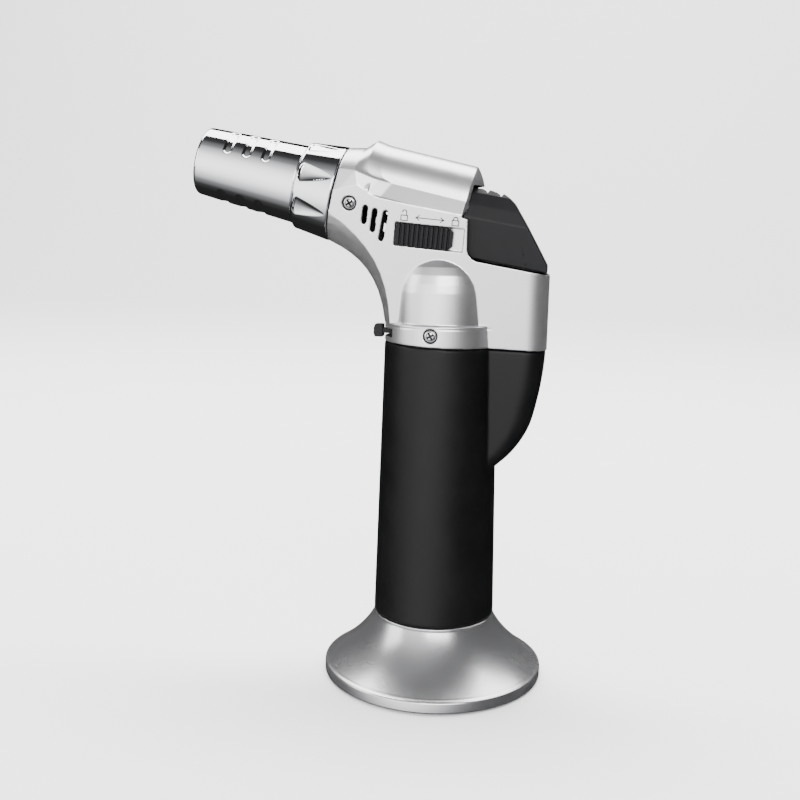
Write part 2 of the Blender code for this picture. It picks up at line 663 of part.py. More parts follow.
def trigger_opening():
    """The trigger's cut-out in the side panels, and the way that it takes inside them."""
    front = TRIGGER_FRONT_X
    side = rounded([(-40, trigger_line(-40), 0), (front, trigger_line(front), TRIGGER_CORNER_R), (front, 115.6, 0),
                    (front - 0.9, TRIGGER_TOP + 0.5, 0), (-40, TRIGGER_TOP + 0.5, 0)])
    reach = front + 1.3 + TRIGGER_TRAVEL + 0.8
    inside = [(-12, trigger_line(-12) + 0.05), (reach, trigger_line(reach) + 0.05), (reach, TRIGGER_TOP + 1.2),
              (-4, TRIGGER_TOP + 0.6), (-12, TRIGGER_TOP + 0.45)]
    section = trigger_section(FIT)
    way = combine(tool(prism(inside, -9, 9), FRAME), "INTERSECT", tool(section, FRAME, trigger_place()))
    return tool(prism(side, -20, 20), FRAME), way


def capsule(one, two, radius):
    """A round-ended slot between two points, as an outline."""
    lean = math.degrees(math.atan2(two[1] - one[1], two[0] - one[0]))
    return arc(two, radius, lean - 90, lean + 90, 5) + arc(one, radius, lean + 90, lean + 270, 5)


def head_shells():
    shell = head_solid()
    combine(shell, "UNION", tool(hump_cap(), BARREL, at(-HUMP_RISE, 0, 0)))
    combine(shell, "DIFFERENCE", parting_cutter(False), head_solid(HEAD_WALL), *trigger_opening())
    for one, two in VENTS:
        combine(shell, "DIFFERENCE", tool(prism(capsule(one, two, VENT_R), -14, 14), FRAME))
    combine(shell, "DIFFERENCE", adjuster_slot(BAND_R, 8.2))
    pocket = turned([(0, -12), (SCREW_R + GAP, -12), (SCREW_R + GAP, -1.0), (SCREW_HEAD_R + GAP, -1.0),
                     (SCREW_HEAD_R + GAP, 2), (0, 2)], SMALL_ROUND)
    for place in (panel_place(*FRONT_SCREW), band_screw_place(1), band_screw_place(-1)):
        combine(shell, "DIFFERENCE", tool(pocket.copy(), FRAME, place))
    for side, name in ((1, "head_shell_left"), (-1, "head_shell_right")):
        half = new_object(name, bmesh.new(), SATIN_SILVER, FRAME)
        half.data = shell.data.copy()
        cut = tool(slab((200, 80, 200), (0, side * (40 + SEAM_GAP), 80)), FRAME)
        combine(half, "INTERSECT", cut)
        boss = turned([(SCREW_R + FIT, 6.9), (2.2, 6.9), (2.2, 10.4), (SCREW_R + FIT, 10.4)], 20)
        turn = Matrix.Rotation(-side * math.pi / 2, 4, "X")
        combine(half, "UNION", tool(boss, FRAME, at(3.4, 0, 90.0) @ turn))
        if side == 1:
            place = panel_place(*WINDOW_CENTRE, tilt=WINDOW_TILT)
            recess = slab((WINDOW[0], WINDOW[1], 2), (0, 0, 1 - WINDOW_DEPTH))
            slot = slab((KNOB_NECK + LOCK_TRAVEL + 1.3, 2.2, 8), (0.1, 0, -3))
            combine(half, "DIFFERENCE", tool(recess, FRAME, place), tool(slot, FRAME, place))
        half.data.materials.clear()
        half.data.materials.append(SATIN_SILVER)
    pocket.free()
    bpy.data.objects.remove(shell)


# ---------------------------------------------------------------- trigger, lock slider and screws

def trigger_place():
    return at(TRIGGER_BOTTOM[0], 0, TRIGGER_BOTTOM[1]) @ Matrix.Rotation(-TRIGGER_TILT, 4, "Y")


def trigger_section(clearance=0.0):
    """The trigger's shape across its travel. It follows the panels and rounds over at the top."""
    wide = panel_half(TRIGGER_BOTTOM[1], HEAD_WALL + FIT) + clearance
    top = TRIGGER_TOP - TRIGGER_BOTTOM[1]
    half = [(wide, -clearance), (wide + 9.5 * PANEL_SLOPE - 0.1, 9.5), (7.2 + clearance, 12.6),
            (6.1 + clearance, 15.2), (4.4 + clearance, top - 0.1 + clearance)]
    outline = half + [(-y, z) for y, z in reversed(half)]
    return loft([[(x, y, z) for y, z in outline] for x in (-22, 12)])


def trigger():
    """A hollow slide button with three finger ribs on top, and an arm that reaches the valve lever."""
    low = FIT + 0.1
    rear = BOX_REAR_X + 0.6
    front = TRIGGER_FRONT_X + 1.3
    ribs = [(-7.7, TRIGGER_TOP)]
    for x, z in ((-10.2, 118.6), (-13.4, 117.8)):
        ribs += [(x + 0.5, z + 0.3), (x, z - 0.35), (x - 0.5, z + 0.1)]
    side = rounded([(front, trigger_line(front) + low, 2.4), (front, 118.4, 0), *[(x, z, 0) for x, z in ribs],
                    (-15.4, 117.1, 0), (-16.6, 115.9, 0), (-19.6, 110.9, 0), (-22.6, 105.6, 0),
                    (rear, 101.6, 0), (rear, trigger_line(rear) + low, 0)])
    body = new_object("trigger", prism(side, -12, 12), BLACK_PLASTIC, FRAME)
    combine(body, "INTERSECT", tool(trigger_section(), FRAME, trigger_place()))
    hollow = prism([(-2, 104.6), (-2, 117.2), (-11.2, 116.0), (-19.0, 104.6), (-19.0, 102.6)], -5.2, 5.2)
    arm = slab((8.0, 2.6, 2.2), (-2.1, -5.0, 104.2))
    combine(body, "DIFFERENCE", tool(hollow, FRAME))
    return combine(body, "UNION", tool(arm, FRAME))


def lock_slider():
    place = panel_place(*WINDOW_CENTRE, tilt=WINDOW_TILT)
    long, high = KNOB
    centre = WINDOW[0] / 2 - 0.25 - long / 2
    top, low = 0.3, 0.15 - WINDOW_DEPTH
    outline = [(-long / 2, -high / 2 + 0.8), (-long / 2 + 0.8, -high / 2), (long / 2, -high / 2),
               (long / 2, high / 2), (-long / 2 + 0.8, high / 2), (-long / 2, high / 2 - 0.8)]
    knob = loft([[(centre + x, y, z) for x, y in outline] for z in (low, top)])
    slider = new_object("lock_slider", knob, BLACK_PLASTIC, FRAME, place)
    pitch = long / 10
    for i in range(9):
        groove = slab((0.45, high + 1, 0.9), (centre + pitch * (i - 4), 0, top))
        combine(slider, "DIFFERENCE", tool(groove, FRAME, place))
    neck = slab((KNOB_NECK, 1.6, 1.0), (centre, 0, low - 0.35))
    combine(slider, "UNION", tool(neck, FRAME, place))
    bar_rear, bar_front = TRIGGER_FRONT_X + 1.3 + TRIGGER_TRAVEL + LOCK_TRAVEL + FIT - WINDOW_CENTRE[0], 6.1
    bar = slab((bar_front - bar_rear, 3.6, 1.3), ((bar_front + bar_rear) / 2, 0, -HEAD_WALL - FIT - 0.65))
    return new_object("lock_bar", bar, DARK_PLASTIC, FRAME, place)


def band_screw_place(side):
    x, z = BAND_SCREW
    turn = Matrix.Rotation(-side * math.pi / 2, 4, "X")
    return at(x, side * math.sqrt(BAND_R**2 - x**2), z) @ turn


def screw(name, place, length):
    """A cross-head screw whose head sits in its pocket, pointing along the pocket's own axis."""
    low = -1.0 + 0.1
    profile = [(0, -length), (SCREW_R, -length), (SCREW_R, low), (SCREW_HEAD_R, low), (SCREW_HEAD_R, -0.25),
               (SCREW_HEAD_R - 0.4, 0.0), (0, 0.05)]
    made = new_object(name, turned(profile, SMALL_ROUND), STEEL, FRAME, place)
    for size in ((1.8, 0.42, 0.9), (0.42, 1.8, 0.9)):
        combine(made, "DIFFERENCE", tool(slab(size), FRAME, place))


def screws():
    screw("front_screw", panel_place(*FRONT_SCREW), 5.2)
    screw("band_screw_left", band_screw_place(1), 3.6)
    screw("band_screw_right", band_screw_place(-1), 3.6)


# ---------------------------------------------------------------- the torch

for thing in list(bpy.data.objects):
    bpy.data.objects.remove(thing)

SATIN_SILVER = material("satin_silver", (0.78, 0.78, 0.80), 0.35, 0.85)
CHROME = material("chrome", (0.85, 0.86, 0.88), 0.06, 1.0)
STEEL = material("steel", (0.62, 0.62, 0.63), 0.25, 1.0)
STAINLESS = material("stainless", (0.45, 0.44, 0.43), 0.35, 1.0)
CAST_METAL = material("cast_metal", (0.50, 0.50, 0.50), 0.55, 0.9)
BRASS = material("brass", (0.78, 0.58, 0.28), 0.28, 1.0)
BLACK_SLEEVE = material("black_sleeve", (0.012, 0.012, 0.013), 0.45, 0.0)
BLACK_PLASTIC = material("black_plastic", (0.02, 0.02, 0.022), 0.4, 0.0)
DARK_PLASTIC = material("dark_plastic", (0.05, 0.05, 0.055), 0.5, 0.0)
WHITE_PLASTIC = material("white_plastic", (0.8, 0.8, 0.78), 0.4, 0.0)
BLACK_RUBBER = material("black_rubber", (0.015, 0.015, 0.015), 0.8, 0.0)
CLEAR_TANK = material("clear_tank", (0.75, 0.77, 0.78), 0.2, 0.0)
CLEAR_HOSE = material("clear_hose", (0.7, 0.72, 0.72), 0.25, 0.0)
CREAM = material("cream", (0.75, 0.70, 0.58), 0.8, 0.0)
CERAMIC = material("ceramic", (0.88, 0.86, 0.82), 0.35, 0.0)
RED_LEAD = material("red_lead", (0.45, 0.02, 0.02), 0.4, 0.0)

FRAME = empty("torch", None, at(AXIS_X, 0, 0))
BARREL = empty("barrel_axis", FRAME, at(0, 0, BARREL_Z) @ Matrix.Rotation(math.pi / 2 - BARREL_TILT, 4, "Y"))
bpy.context.view_layer.update()

base_stand()
handle_sleeve()
fuel_tank()
tank_cap()
wick_tube()
outlet_valve_body()
outlet_valve_stem()
flame_adjuster()
valve_lever()
lever_pin()
refill_valve()
barrel_and_burner()
igniter()
piezo()
gas_hose()
head_shells()
trigger()
lock_slider()
screws()
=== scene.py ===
"""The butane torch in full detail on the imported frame, worked out in millimetres about the handle's axis."""

import math

import bmesh
import bpy
import numpy as np
from mathutils import Matrix, Vector
from mathutils.bvhtree import BVHTree


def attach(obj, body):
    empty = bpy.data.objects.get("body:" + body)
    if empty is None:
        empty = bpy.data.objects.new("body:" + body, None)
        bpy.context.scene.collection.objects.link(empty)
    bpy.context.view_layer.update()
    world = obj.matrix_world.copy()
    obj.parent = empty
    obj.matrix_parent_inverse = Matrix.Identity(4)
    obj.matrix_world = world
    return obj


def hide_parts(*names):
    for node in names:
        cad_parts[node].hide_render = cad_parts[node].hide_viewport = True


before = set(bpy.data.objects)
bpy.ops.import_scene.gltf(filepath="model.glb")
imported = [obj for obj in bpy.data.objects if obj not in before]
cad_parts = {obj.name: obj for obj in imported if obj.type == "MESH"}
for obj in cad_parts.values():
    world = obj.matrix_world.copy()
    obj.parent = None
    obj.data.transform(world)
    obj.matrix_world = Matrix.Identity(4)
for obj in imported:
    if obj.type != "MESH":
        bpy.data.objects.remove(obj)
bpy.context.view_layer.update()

MM = 0.001
ROUND = 96  # sides of a large round part
GAP = 0.3  # between neighbouring parts
FIT = 0.35  # running clearance of a moving part
WELD = 0.003  # points nearer than this become one after a cut

# Base and handle
BASE_R = 27.0
BASE_RIM = 2.9
BASE_FLARE_TOP = 15.6
BASE_NECK_R = 14.9
BASE_WALL = 1.6
REFILL_HOLE_R = 5.5
SLEEVE_BOTTOM_R = 14.86
SLEEVE_TOP_R = 13.5
SLEEVE_BORE_R = 12.1
PARTING_Z = 82.7  # the head meets the sleeve here
PARTING_TILT = math.radians(1.8)  # that joint drops towards the rear
FIN_REAR_X = -25.0
FIN_ROOT_Z = 52.0
FIN_HALF = 6.4

# Fuel tank and valves
TANK_BOTTOM = 12.0

# Head
HEAD_WALL = 1.5
SEAM_GAP = 0.15  # between the two head shells
PANEL_HALF = 7.0  # half width between the flat side panels, at PANEL_Z
PANEL_Z = 85.0
PANEL_SLOPE = 0.12  # the panels spread by this much per unit of height
BOX_REAR_X = -25.4
BOX_CORNER_R = 5.0
BAND_R = 13.5
BAND_TOP = 87.5
DOME_R = 11.9
DOME_CENTRE_Z = 95.0

# Barrel axis: it lies in the middle plane and rises towards the mouth
BARREL_Z = 111.67  # height where it crosses the handle's axis
BARREL_TILT = math.radians(12.65)
MOUTH_AT = 60.2
COLLAR_FRONT = 35.3
COLLAR_REAR = 25.5
MOUTH_R = 8.04
BARREL_REAR_R = 9.31
COLLAR_FRONT_R = 10.15
COLLAR_REAR_R = 11.22
BARREL_BORE_R = 6.9
NOSE_R = 12.1  # nose where the hump's chamfer starts
NOSE_CHAMFER_AT = 21.6
HUMP_FRONT_AT = 19.3
HUMP_REAR_AT = -4.8
HUMP_R = 9.0
HUMP_RISE = 4.85  # hump's own axis above the barrel axis
HUMP_EDGE = 5.4  # where the hump meets its shoulder
HUMP_LIP = 0.5
HUMP_CAP = 3.6
SHOULDER_SLOPE = 0.41
SHOULDER_FOOT = 1.6  # the side panels end this far above the barrel axis

# Trigger
TRIGGER_TILT = math.radians(9.8)
TRIGGER_FRONT_X = -6.4
TRIGGER_BOTTOM = (-8.8, 102.4)
TRIGGER_TOP = 119.2
TRIGGER_TRAVEL = 4.5
TRIGGER_CORNER_R = 3.0

# Lock slider on the left panel
WINDOW_CENTRE = (2.4, 107.7)
WINDOW_TILT = math.radians(4.9)
WINDOW_DEPTH = 0.85
KNOB = (13.3, 4.9)
KNOB_NECK = 6.5
LOCK_TRAVEL = 2.0
WINDOW = (KNOB[0] + LOCK_TRAVEL + 0.7, KNOB[1] + 0.5)

# Screws and vents: places on the side panels as (x, z)
SCREW_HEAD_R = 1.4
SCREW_R = 0.8
FRONT_SCREW = (20.9, 115.05)
BAND_SCREW = (1.1, 85.3)
VENTS = (((17.1, 114.1), (17.5, 111.0)), ((14.9, 113.4), (15.5, 109.2)), ((12.4, 113.0), (13.5, 107.2)))
VENT_R = 0.62

AXIS_X = -(MOUTH_AT * math.cos(BARREL_TILT) + MOUTH_R * math.sin(BARREL_TILT) - BASE_R) / 2

BARREL = Matrix.Translation((0, 0, BARREL_Z)) @ Matrix.Rotation(math.pi / 2 - BARREL_TILT, 4, "Y")


# ---------------------------------------------------------------- materials

class Look:
    """A node material with short helpers for adding nodes."""

    def __init__(self, name, colour, roughness, metallic=0.0, **inputs):
        self.made = bpy.data.materials.new(name)
        self.made.use_nodes = True
        self.nodes = self.made.node_tree.nodes
        self.links = self.made.node_tree.links
        self.shader = self.nodes["Principled BSDF"]
        self.shader.inputs["Base Color"].default_value = (*colour, 1)
        self.shader.inputs["Roughness"].default_value = roughness
        self.shader.inputs["Metallic"].default_value = metallic
        for key, value in inputs.items():
            self.shader.inputs[key.replace("_", " ")].default_value = value
        self.made.diffuse_color = (*colour, 1)
        self.place = self.nodes.new("ShaderNodeTexCoord").outputs["Object"]
        self.height = None

    def link(self, out, into):
        self.links.new(out, into)

    def noise(self, scale, detail=3.0, rough=0.55, stretch=None):
        node = self.nodes.new("ShaderNodeTexNoise")
        node.inputs["Scale"].default_value = scale
        node.inputs["Detail"].default_value = detail
        node.inputs["Roughness"].default_value = rough
        place = self.place
        if stretch:
            mapping = self.nodes.new("ShaderNodeMapping")
            mapping.inputs["Scale"].default_value = stretch
            self.link(place, mapping.inputs["Vector"])
            place = mapping.outputs["Vector"]
        self.link(place, node.inputs["Vector"])
        return node.outputs["Fac"]

    def ramp(self, source, low, high, start, end):
        node = self.nodes.new("ShaderNodeMapRange")
        node.inputs["From Min"].default_value = low
        node.inputs["From Max"].default_value = high
        node.inputs["To Min"].default_value = start
        node.inputs["To Max"].default_value = end
        self.link(source, node.inputs["Value"])
        return node.outputs["Result"]

    def tint(self, source, low, high, first, second):
        node = self.nodes.new("ShaderNodeValToRGB")
        node.color_ramp.elements[0].position = low
        node.color_ramp.elements[1].position = high
        node.color_ramp.elements[0].color = (*first, 1)
        node.color_ramp.elements[1].color = (*second, 1)
        self.link(source, node.inputs["Fac"])
        self.link(node.outputs["Color"], self.shader.inputs["Base Color"])

    def roughness(self, source, low, high, first, second):
        self.link(self.ramp(source, low, high, first, second), self.shader.inputs["Roughness"])

    def bump(self, source, strength, distance):
        node = self.nodes.new("ShaderNodeBump")
        node.inputs["Strength"].default_value = strength
        node.inputs["Distance"].default_value = distance
        self.link(source, node.inputs["Height"])
        if self.height:
            self.link(self.height, node.inputs["Normal"])
        self.height = node.outputs["Normal"]
        self.link(self.height, self.shader.inputs["Normal"])


def satin_silver(name, colour, rough):
    """Fine metallic paint: tiny flakes, a little orange peel and faint handling marks."""
    look = Look(name, colour, rough, 0.93, Coat_Weight=0.08, Coat_Roughness=0.15)
    flakes = look.noise(9000, 2, 0.7)
    look.tint(flakes, 0.3, 0.7, tuple(c * 0.93 for c in colour), tuple(min(1, c * 1.05) for c in colour))
    look.roughness(look.noise(60, 2), 0.3, 0.7, rough - 0.02, rough + 0.03)
    look.bump(look.noise(1400, 2), 0.04, 0.00003)
    look.bump(flakes, 0.05, 0.00002)
    return look.made


def chrome():
    look = Look("chrome_plate", (0.80, 0.81, 0.83), 0.05, 1.0)
    look.roughness(look.noise(90, 5, 0.65), 0.35, 0.75, 0.035, 0.085)
    look.bump(look.noise(220, 2), 0.05, 0.00004)
    return look.made


def turned_metal(name, colour, rough, stretch=(1, 1, 14)):
    """Metal with fine turning or drawing marks."""
    look = Look(name, colour, rough, 1.0)
    marks = look.noise(900, 4, 0.6, stretch)
    look.tint(look.noise(350, 4), 0.3, 0.75, tuple(c * 0.86 for c in colour), colour)
    look.roughness(marks, 0.3, 0.7, rough - 0.06, rough + 0.08)
    look.bump(marks, 0.12, 0.00003)
    return look.made


def heated_steel():
    look = Look("heated_steel", (0.42, 0.39, 0.36), 0.36, 1.0)
    stains = look.noise(260, 5, 0.6)
    look.tint(stains, 0.35, 0.7, (0.20, 0.19, 0.22), (0.55, 0.46, 0.36))
    look.roughness(look.noise(1200, 3), 0.3, 0.7, 0.28, 0.48)
    look.bump(look.noise(1500, 3), 0.15, 0.00004)
    return look.made


def moulded(name, colour, rough, grain, depth=0.00006, **inputs):
    """Moulded plastic with a fine spark-eroded texture and slight sheen changes."""
    look = Look(name, colour, rough, 0.0, **inputs)
    wide = look.noise(120, 4)
    look.tint(wide, 0.3, 0.75, tuple(c * 0.82 for c in colour), tuple(min(1, c * 1.15) for c in colour))
    look.roughness(wide, 0.3, 0.7, rough - 0.04, rough + 0.06)
    look.bump(look.noise(grain, 3, 0.6), 0.22, depth)
    return look.made


SILVER = satin_silver("satin_silver_head", (0.76, 0.76, 0.775), 0.30)
# The stand uses the head's satin silver paint made darker overall, a painted shade over the whole stand.
STAND_SILVER_SHADED = satin_silver("satin_silver_stand_painted_shade", (0.60, 0.60, 0.615), 0.25)
CHROME = chrome()
STEEL = turned_metal("bright_steel", (0.70, 0.70, 0.71), 0.20)
DARK_STEEL = turned_metal("steel_shadowed", (0.45, 0.45, 0.46), 0.32)
HEATED = heated_steel()
BRASS = turned_metal("turned_brass", (0.78, 0.58, 0.28), 0.26)
# The burner mount's cast zinc is darkened to near black as painted shade, since it sits inside the head.
CAST_ZINC_SHADED = turned_metal("cast_zinc_painted_shade", (0.10, 0.10, 0.10), 0.6, (1, 1, 1))
SLEEVE_BLACK = moulded("sleeve_black", (0.0035, 0.0035, 0.004), 0.42, 2600, 0.00005,
                       Specular_IOR_Level=0.2)
BLACK = moulded("button_black", (0.005, 0.005, 0.006), 0.40, 2200, 0.00005, Specular_IOR_Level=0.2)
DARK = moulded("dark_moulding", (0.05, 0.05, 0.055), 0.48, 1800)
WHITE = moulded("white_moulding", (0.80, 0.80, 0.77), 0.38, 1800)
RUBBER = moulded("nitrile_rubber", (0.016, 0.016, 0.016), 0.72, 1500, 0.0001)
TANK = moulded("pale_tank", (0.72, 0.75, 0.76), 0.22, 900, 0.00004, Transmission_Weight=0.35)
HOSE = moulded("dark_hose", (0.02, 0.02, 0.021), 0.42, 900, 0.00004)
WICK = moulded("porous_wick", (0.75, 0.69, 0.56), 0.85, 1200, 0.0003)
CERAMIC = moulded("glazed_ceramic", (0.88, 0.86, 0.81), 0.22, 700, 0.00004, Coat_Weight=0.5)
LEAD = moulded("red_lead", (0.42, 0.016, 0.016), 0.36, 1500)
# Near black: painted shade for the inside of the head shells and for the screws' cross recesses.
PAINTED_SHADE = moulded("painted_shade_black", (0.022, 0.022, 0.024), 0.6, 1800)
INK = moulded("etched_mark", (0.05, 0.05, 0.055), 0.55, 1500)


# ---------------------------------------------------------------- making things

def new_object(name, bm, look, place=Matrix()):
    """An object whose mesh comes in millimetres; its points end up in the row frame, in metres."""
    bmesh.ops.recalc_face_normals(bm, faces=bm.faces)
    bm.transform(Matrix.Scale(MM, 4) @ Matrix.Translation((AXIS_X, 0, 0)) @ place)
    mesh = bpy.data.meshes.new(name)
    bm.to_mesh(mesh)
    bm.free()
    mesh.materials.append(look)
    mesh.shade_smooth()
    made = bpy.data.objects.new(name, mesh)
    bpy.context.scene.collection.objects.link(made)
    return made


def tool(bm, place=Matrix(), _=None):
    return new_object("tool", bm, SILVER, place if _ is None else place @ _)


def settle(target, sharp=None):
    """Applies the target's modifiers."""
    graph = bpy.context.evaluated_depsgraph_get()
    mesh = bpy.data.meshes.new_from_object(target.evaluated_get(graph))
    target.modifiers.clear()
    target.data = mesh
    mesh.shade_smooth()
    if sharp:
        mesh.set_sharp_from_angle(angle=math.radians(sharp))
    return target


def combine(target, operation, *tools):
    """Joins, cuts or intersects the target with each tool, and removes the tools."""
    for tool in tools:
        step = target.modifiers.new(operation.lower(), "BOOLEAN")
        step.operation = operation
        step.object = tool
        bpy.context.view_layer.update()
        settle(target)
        bm = bmesh.new()
        bm.from_mesh(target.data)
        bmesh.ops.remove_doubles(bm, verts=bm.verts, dist=WELD * MM)
        bmesh.ops.dissolve_degenerate(bm, edges=bm.edges, dist=WELD * MM)
        bm.to_mesh(target.data)
        bm.free()
        bpy.data.objects.remove(tool)
    return target


def moulding(target, voxel, rounds, look, keep=1.0):
    """Remeshes a solid evenly and relaxes it, which rounds its edges as a moulding's are."""
    step = target.modifiers.new("remesh", "REMESH")
    step.mode = "VOXEL"
    step.voxel_size = voxel * MM
    step = target.modifiers.new("relax", "SMOOTH")
    step.factor = 0.5
    step.iterations = rounds
    if keep < 1:
        step = target.modifiers.new("thin", "DECIMATE")
        step.ratio = keep
    settle(target)
    target.data.materials.clear()
    target.data.materials.append(look)
    for face in target.data.polygons:
        face.material_index = 0
    return target


def crisp(target, width, look, segments=3, angle=30):
    """Rounds a solid's edges with a small bevel."""
    step = target.modifiers.new("edges", "BEVEL")
    step.width = width * MM
    step.segments = segments
    step.limit_method = "ANGLE"
    step.angle_limit = math.radians(angle)
    step.harden_normals = True
    settle(target)
    target.data.materials.clear()
    target.data.materials.append(look)
    for face in target.data.polygons:
        face.material_index = 0
    return target


def stands_for(piece, body, slot, *nodes):
    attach(piece, body)
    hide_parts(*nodes)


def wrap(rings):
    """Skins rings of equal numbers of points into one closed skin, ring to ring and last to first."""
    bm = bmesh.new()
    made = [[bm.verts.new(p) for p in ring] for ring in rings]
    for one, two in zip(made, made[1:] + made[:1]):
        for i in range(len(one)):
            j = (i + 1) % len(one)
            bm.faces.new((one[i], one[j], two[j], two[i]))
    return bm


def blend_between(value, low, high):
    t = np.clip((value - low) / (high - low), 0, 1)
    return t * t * (3 - 2 * t)


# ---------------------------------------------------------------- shared shapes

def at(x, y, z):
    return Matrix.Translation((x, y, z))


def turned(profile, sides=ROUND):
    """A solid of revolution about Z, from (radius, height) points. An end on the axis is closed there."""
    bm = bmesh.new()
    rings = []
    for radius, height in profile:
        if radius < 1e-6:
            rings.append([bm.verts.new((0, 0, height))])
            continue
        turn = [2 * math.pi * (i + 0.5) / sides for i in range(sides)]
        rings.append([bm.verts.new((radius * math.cos(a), radius * math.sin(a), height)) for a in turn])
    pairs = list(zip(rings, rings[1:]))
    if len(rings[0]) > 1:
        pairs.append((rings[-1], rings[0]))
    for lower, upper in pairs:
        for i in range(sides):
            j = (i + 1) % sides
            corners = [lower[i % len(lower)], lower[j % len(lower)]]
            corners += [upper[j % len(upper)], upper[i % len(upper)]]
            corners = [v for k, v in enumerate(corners) if v not in corners[:k]]
            if len(corners) > 2:
                bm.faces.new(corners)
    return bm


def loft(sections):
    """Skins sections that hold the same number of points, and closes both ends."""
    bm = bmesh.new()
    rings = [[bm.verts.new(point) for point in section] for section in sections]
    for one, two in zip(rings, rings[1:]):
        for i in range(len(one)):
            j = (i + 1) % len(one)
            bm.faces.new((one[i], one[j], two[j], two[i]))
    bm.faces.new(rings[0][::-1])
    bm.faces.new(rings[-1])
    bmesh.ops.triangulate(bm, faces=[f for f in bm.faces if len(f.verts) > 4])
    return bm


def prism(outline, low, high):
    """An outline of (x, z) points drawn out along Y from low to high."""
    return loft([[(x, y, z) for x, z in outline] for y in (low, high)])


def slab(size, centre=(0, 0, 0)):
    bm = bmesh.new()
    bmesh.ops.create_cube(bm, size=1)
    bmesh.ops.scale(bm, vec=size, verts=bm.verts)
    bmesh.ops.translate(bm, vec=centre, verts=bm.verts)
    return bm


def rounded(corners):
    """An outline whose corners (x, z, radius) are rounded with short arcs."""
    points = []
    for i, (x, z, radius) in enumerate(corners):
        here = Vector((x, z))
        if radius == 0:
            points.append((x, z))
            continue
        before = (Vector(corners[i - 1][:2]) - here).normalized()
        after = (Vector(corners[(i + 1) % len(corners)][:2]) - here).normalized()
        half = before.angle(after) / 2
        centre = here + (before + after).normalized() * radius / math.sin(half)
        start = (here + before * radius / math.tan(half)) - centre
        end = (here + after * radius / math.tan(half)) - centre
        sweep = start.angle_signed(end)
        steps = max(2, round(abs(sweep) / 0.12))
        for k in range(steps + 1):
            turn = -sweep * k / steps
            c, s = math.cos(turn), math.sin(turn)
            points.append((centre.x + start.x * c - start.y * s, centre.y + start.x * s + start.y * c))
    return points


def arc(centre, radius, start, end, steps):
    turn = [math.radians(start + (end - start) * i / steps) for i in range(steps + 1)]
    return [(centre[0] + radius * math.cos(a), centre[1] + radius * math.sin(a)) for a in turn]


def panel_half(z, inset=0.0):
    """Half width between the side panels at a height."""
    return PANEL_HALF + PANEL_SLOPE * (z - PANEL_Z) - inset


def panel_place(x, z, side=1, tilt=0.0):
    """A frame on a side panel: Z points out of it and X runs along the torch, raised by the tilt."""
    out = Vector((0, side, -PANEL_SLOPE)).normalized()
    up = Vector((0, side * PANEL_SLOPE, 1)).normalized()
    along = (Vector((1, 0, 0)) * math.cos(tilt) + up * math.sin(tilt)) * side
    across = out.cross(along)
    turn = Matrix((along, across, out)).transposed().to_4x4()
    return at(x, side * panel_half(z), z) @ turn


def barrel_point(along, up):
    """(x, z) of a point in the middle plane, from its place along the barrel axis and above it."""
    c, s = math.cos(BARREL_TILT), math.sin(BARREL_TILT)
    return along * c - up * s, BARREL_Z + along * s + up * c


def trigger_line(x):
    """Height of the line that the trigger slides on."""
    return TRIGGER_BOTTOM[1] + math.tan(TRIGGER_TILT) * (x - TRIGGER_BOTTOM[0])


def plan_section(z, front_x, rear_x, half, corner):
    """A level outline, blunt in front and round at its two rear corners."""
    points = [(front_x, -half, z), (front_x, half, z)]
    for centre_y, start in ((half - corner, 90), (corner - half, 180)):
        for x, y in arc((rear_x + corner, centre_y), corner, start, start + 90, 12):
            points.append((x, y, z))
    return points


def parting_cutter(above, offset=0.0):
    """Everything above or below the tilted joint between head and sleeve."""
    height = 80.0
    middle = height / 2 if above else -height / 2
    place = at(0, 0, PARTING_Z + offset) @ Matrix.Rotation(-PARTING_TILT, 4, "Y")
    return tool(slab((120, 120, height), (0, 0, middle)), place)


def fin_sections(inset, low):
    stations = [(84.5, FIN_REAR_X - 0.3, 5.0), (77.0, FIN_REAR_X + 0.2, 5.0), (70.0, FIN_REAR_X + 1.3, 5.0),
                (63.0, FIN_REAR_X + 3.2, 4.8), (57.0, FIN_REAR_X + 7.0, 4.6), (FIN_ROOT_Z, -12.6, 4.4)]
    return [plan_section(z, -6.0, rear + inset, FIN_HALF - inset, corner - inset)
            for z, rear, corner in stations if z > low]


def adjuster_slot(reach, half):
    return tool(slab((8.0, 2 * half, 2.0), (reach, 0, 85.2)))


def neck_sections(inset):
    """Round sections that turn from the barrel down into the handle, under a smooth curve."""
    x, z = barrel_point(COLLAR_REAR, -COLLAR_REAR_R)
    bends = ((x, z), (x - 7.34, z - 3.25), (15.0, 98.5), (BAND_R + 0.1, BAND_TOP - 0.1))
    a, b, c, d = (Vector(p) for p in bends)
    sections = []
    for i in range(9):
        t = i / 8
        s = 1 - t
        foot = a * s**3 + b * 3 * s * s * t + c * 3 * s * t * t + d * t**3
        run = ((b - a) * s * s + (c - b) * 2 * s * t + (d - c) * t * t).normalized()
        inward = Vector((run.y, -run.x))
        radius = COLLAR_REAR_R + (BAND_R - COLLAR_REAR_R) * t
        centre = foot + inward * radius
        ring = [2 * math.pi * (k + 0.5) / ROUND for k in range(ROUND)]
        reach = radius - inset
        sections.append([(centre.x + inward.x * reach * math.cos(q), reach * math.sin(q),
                          centre.y + inward.y * reach * math.cos(q)) for q in ring])
    return sections


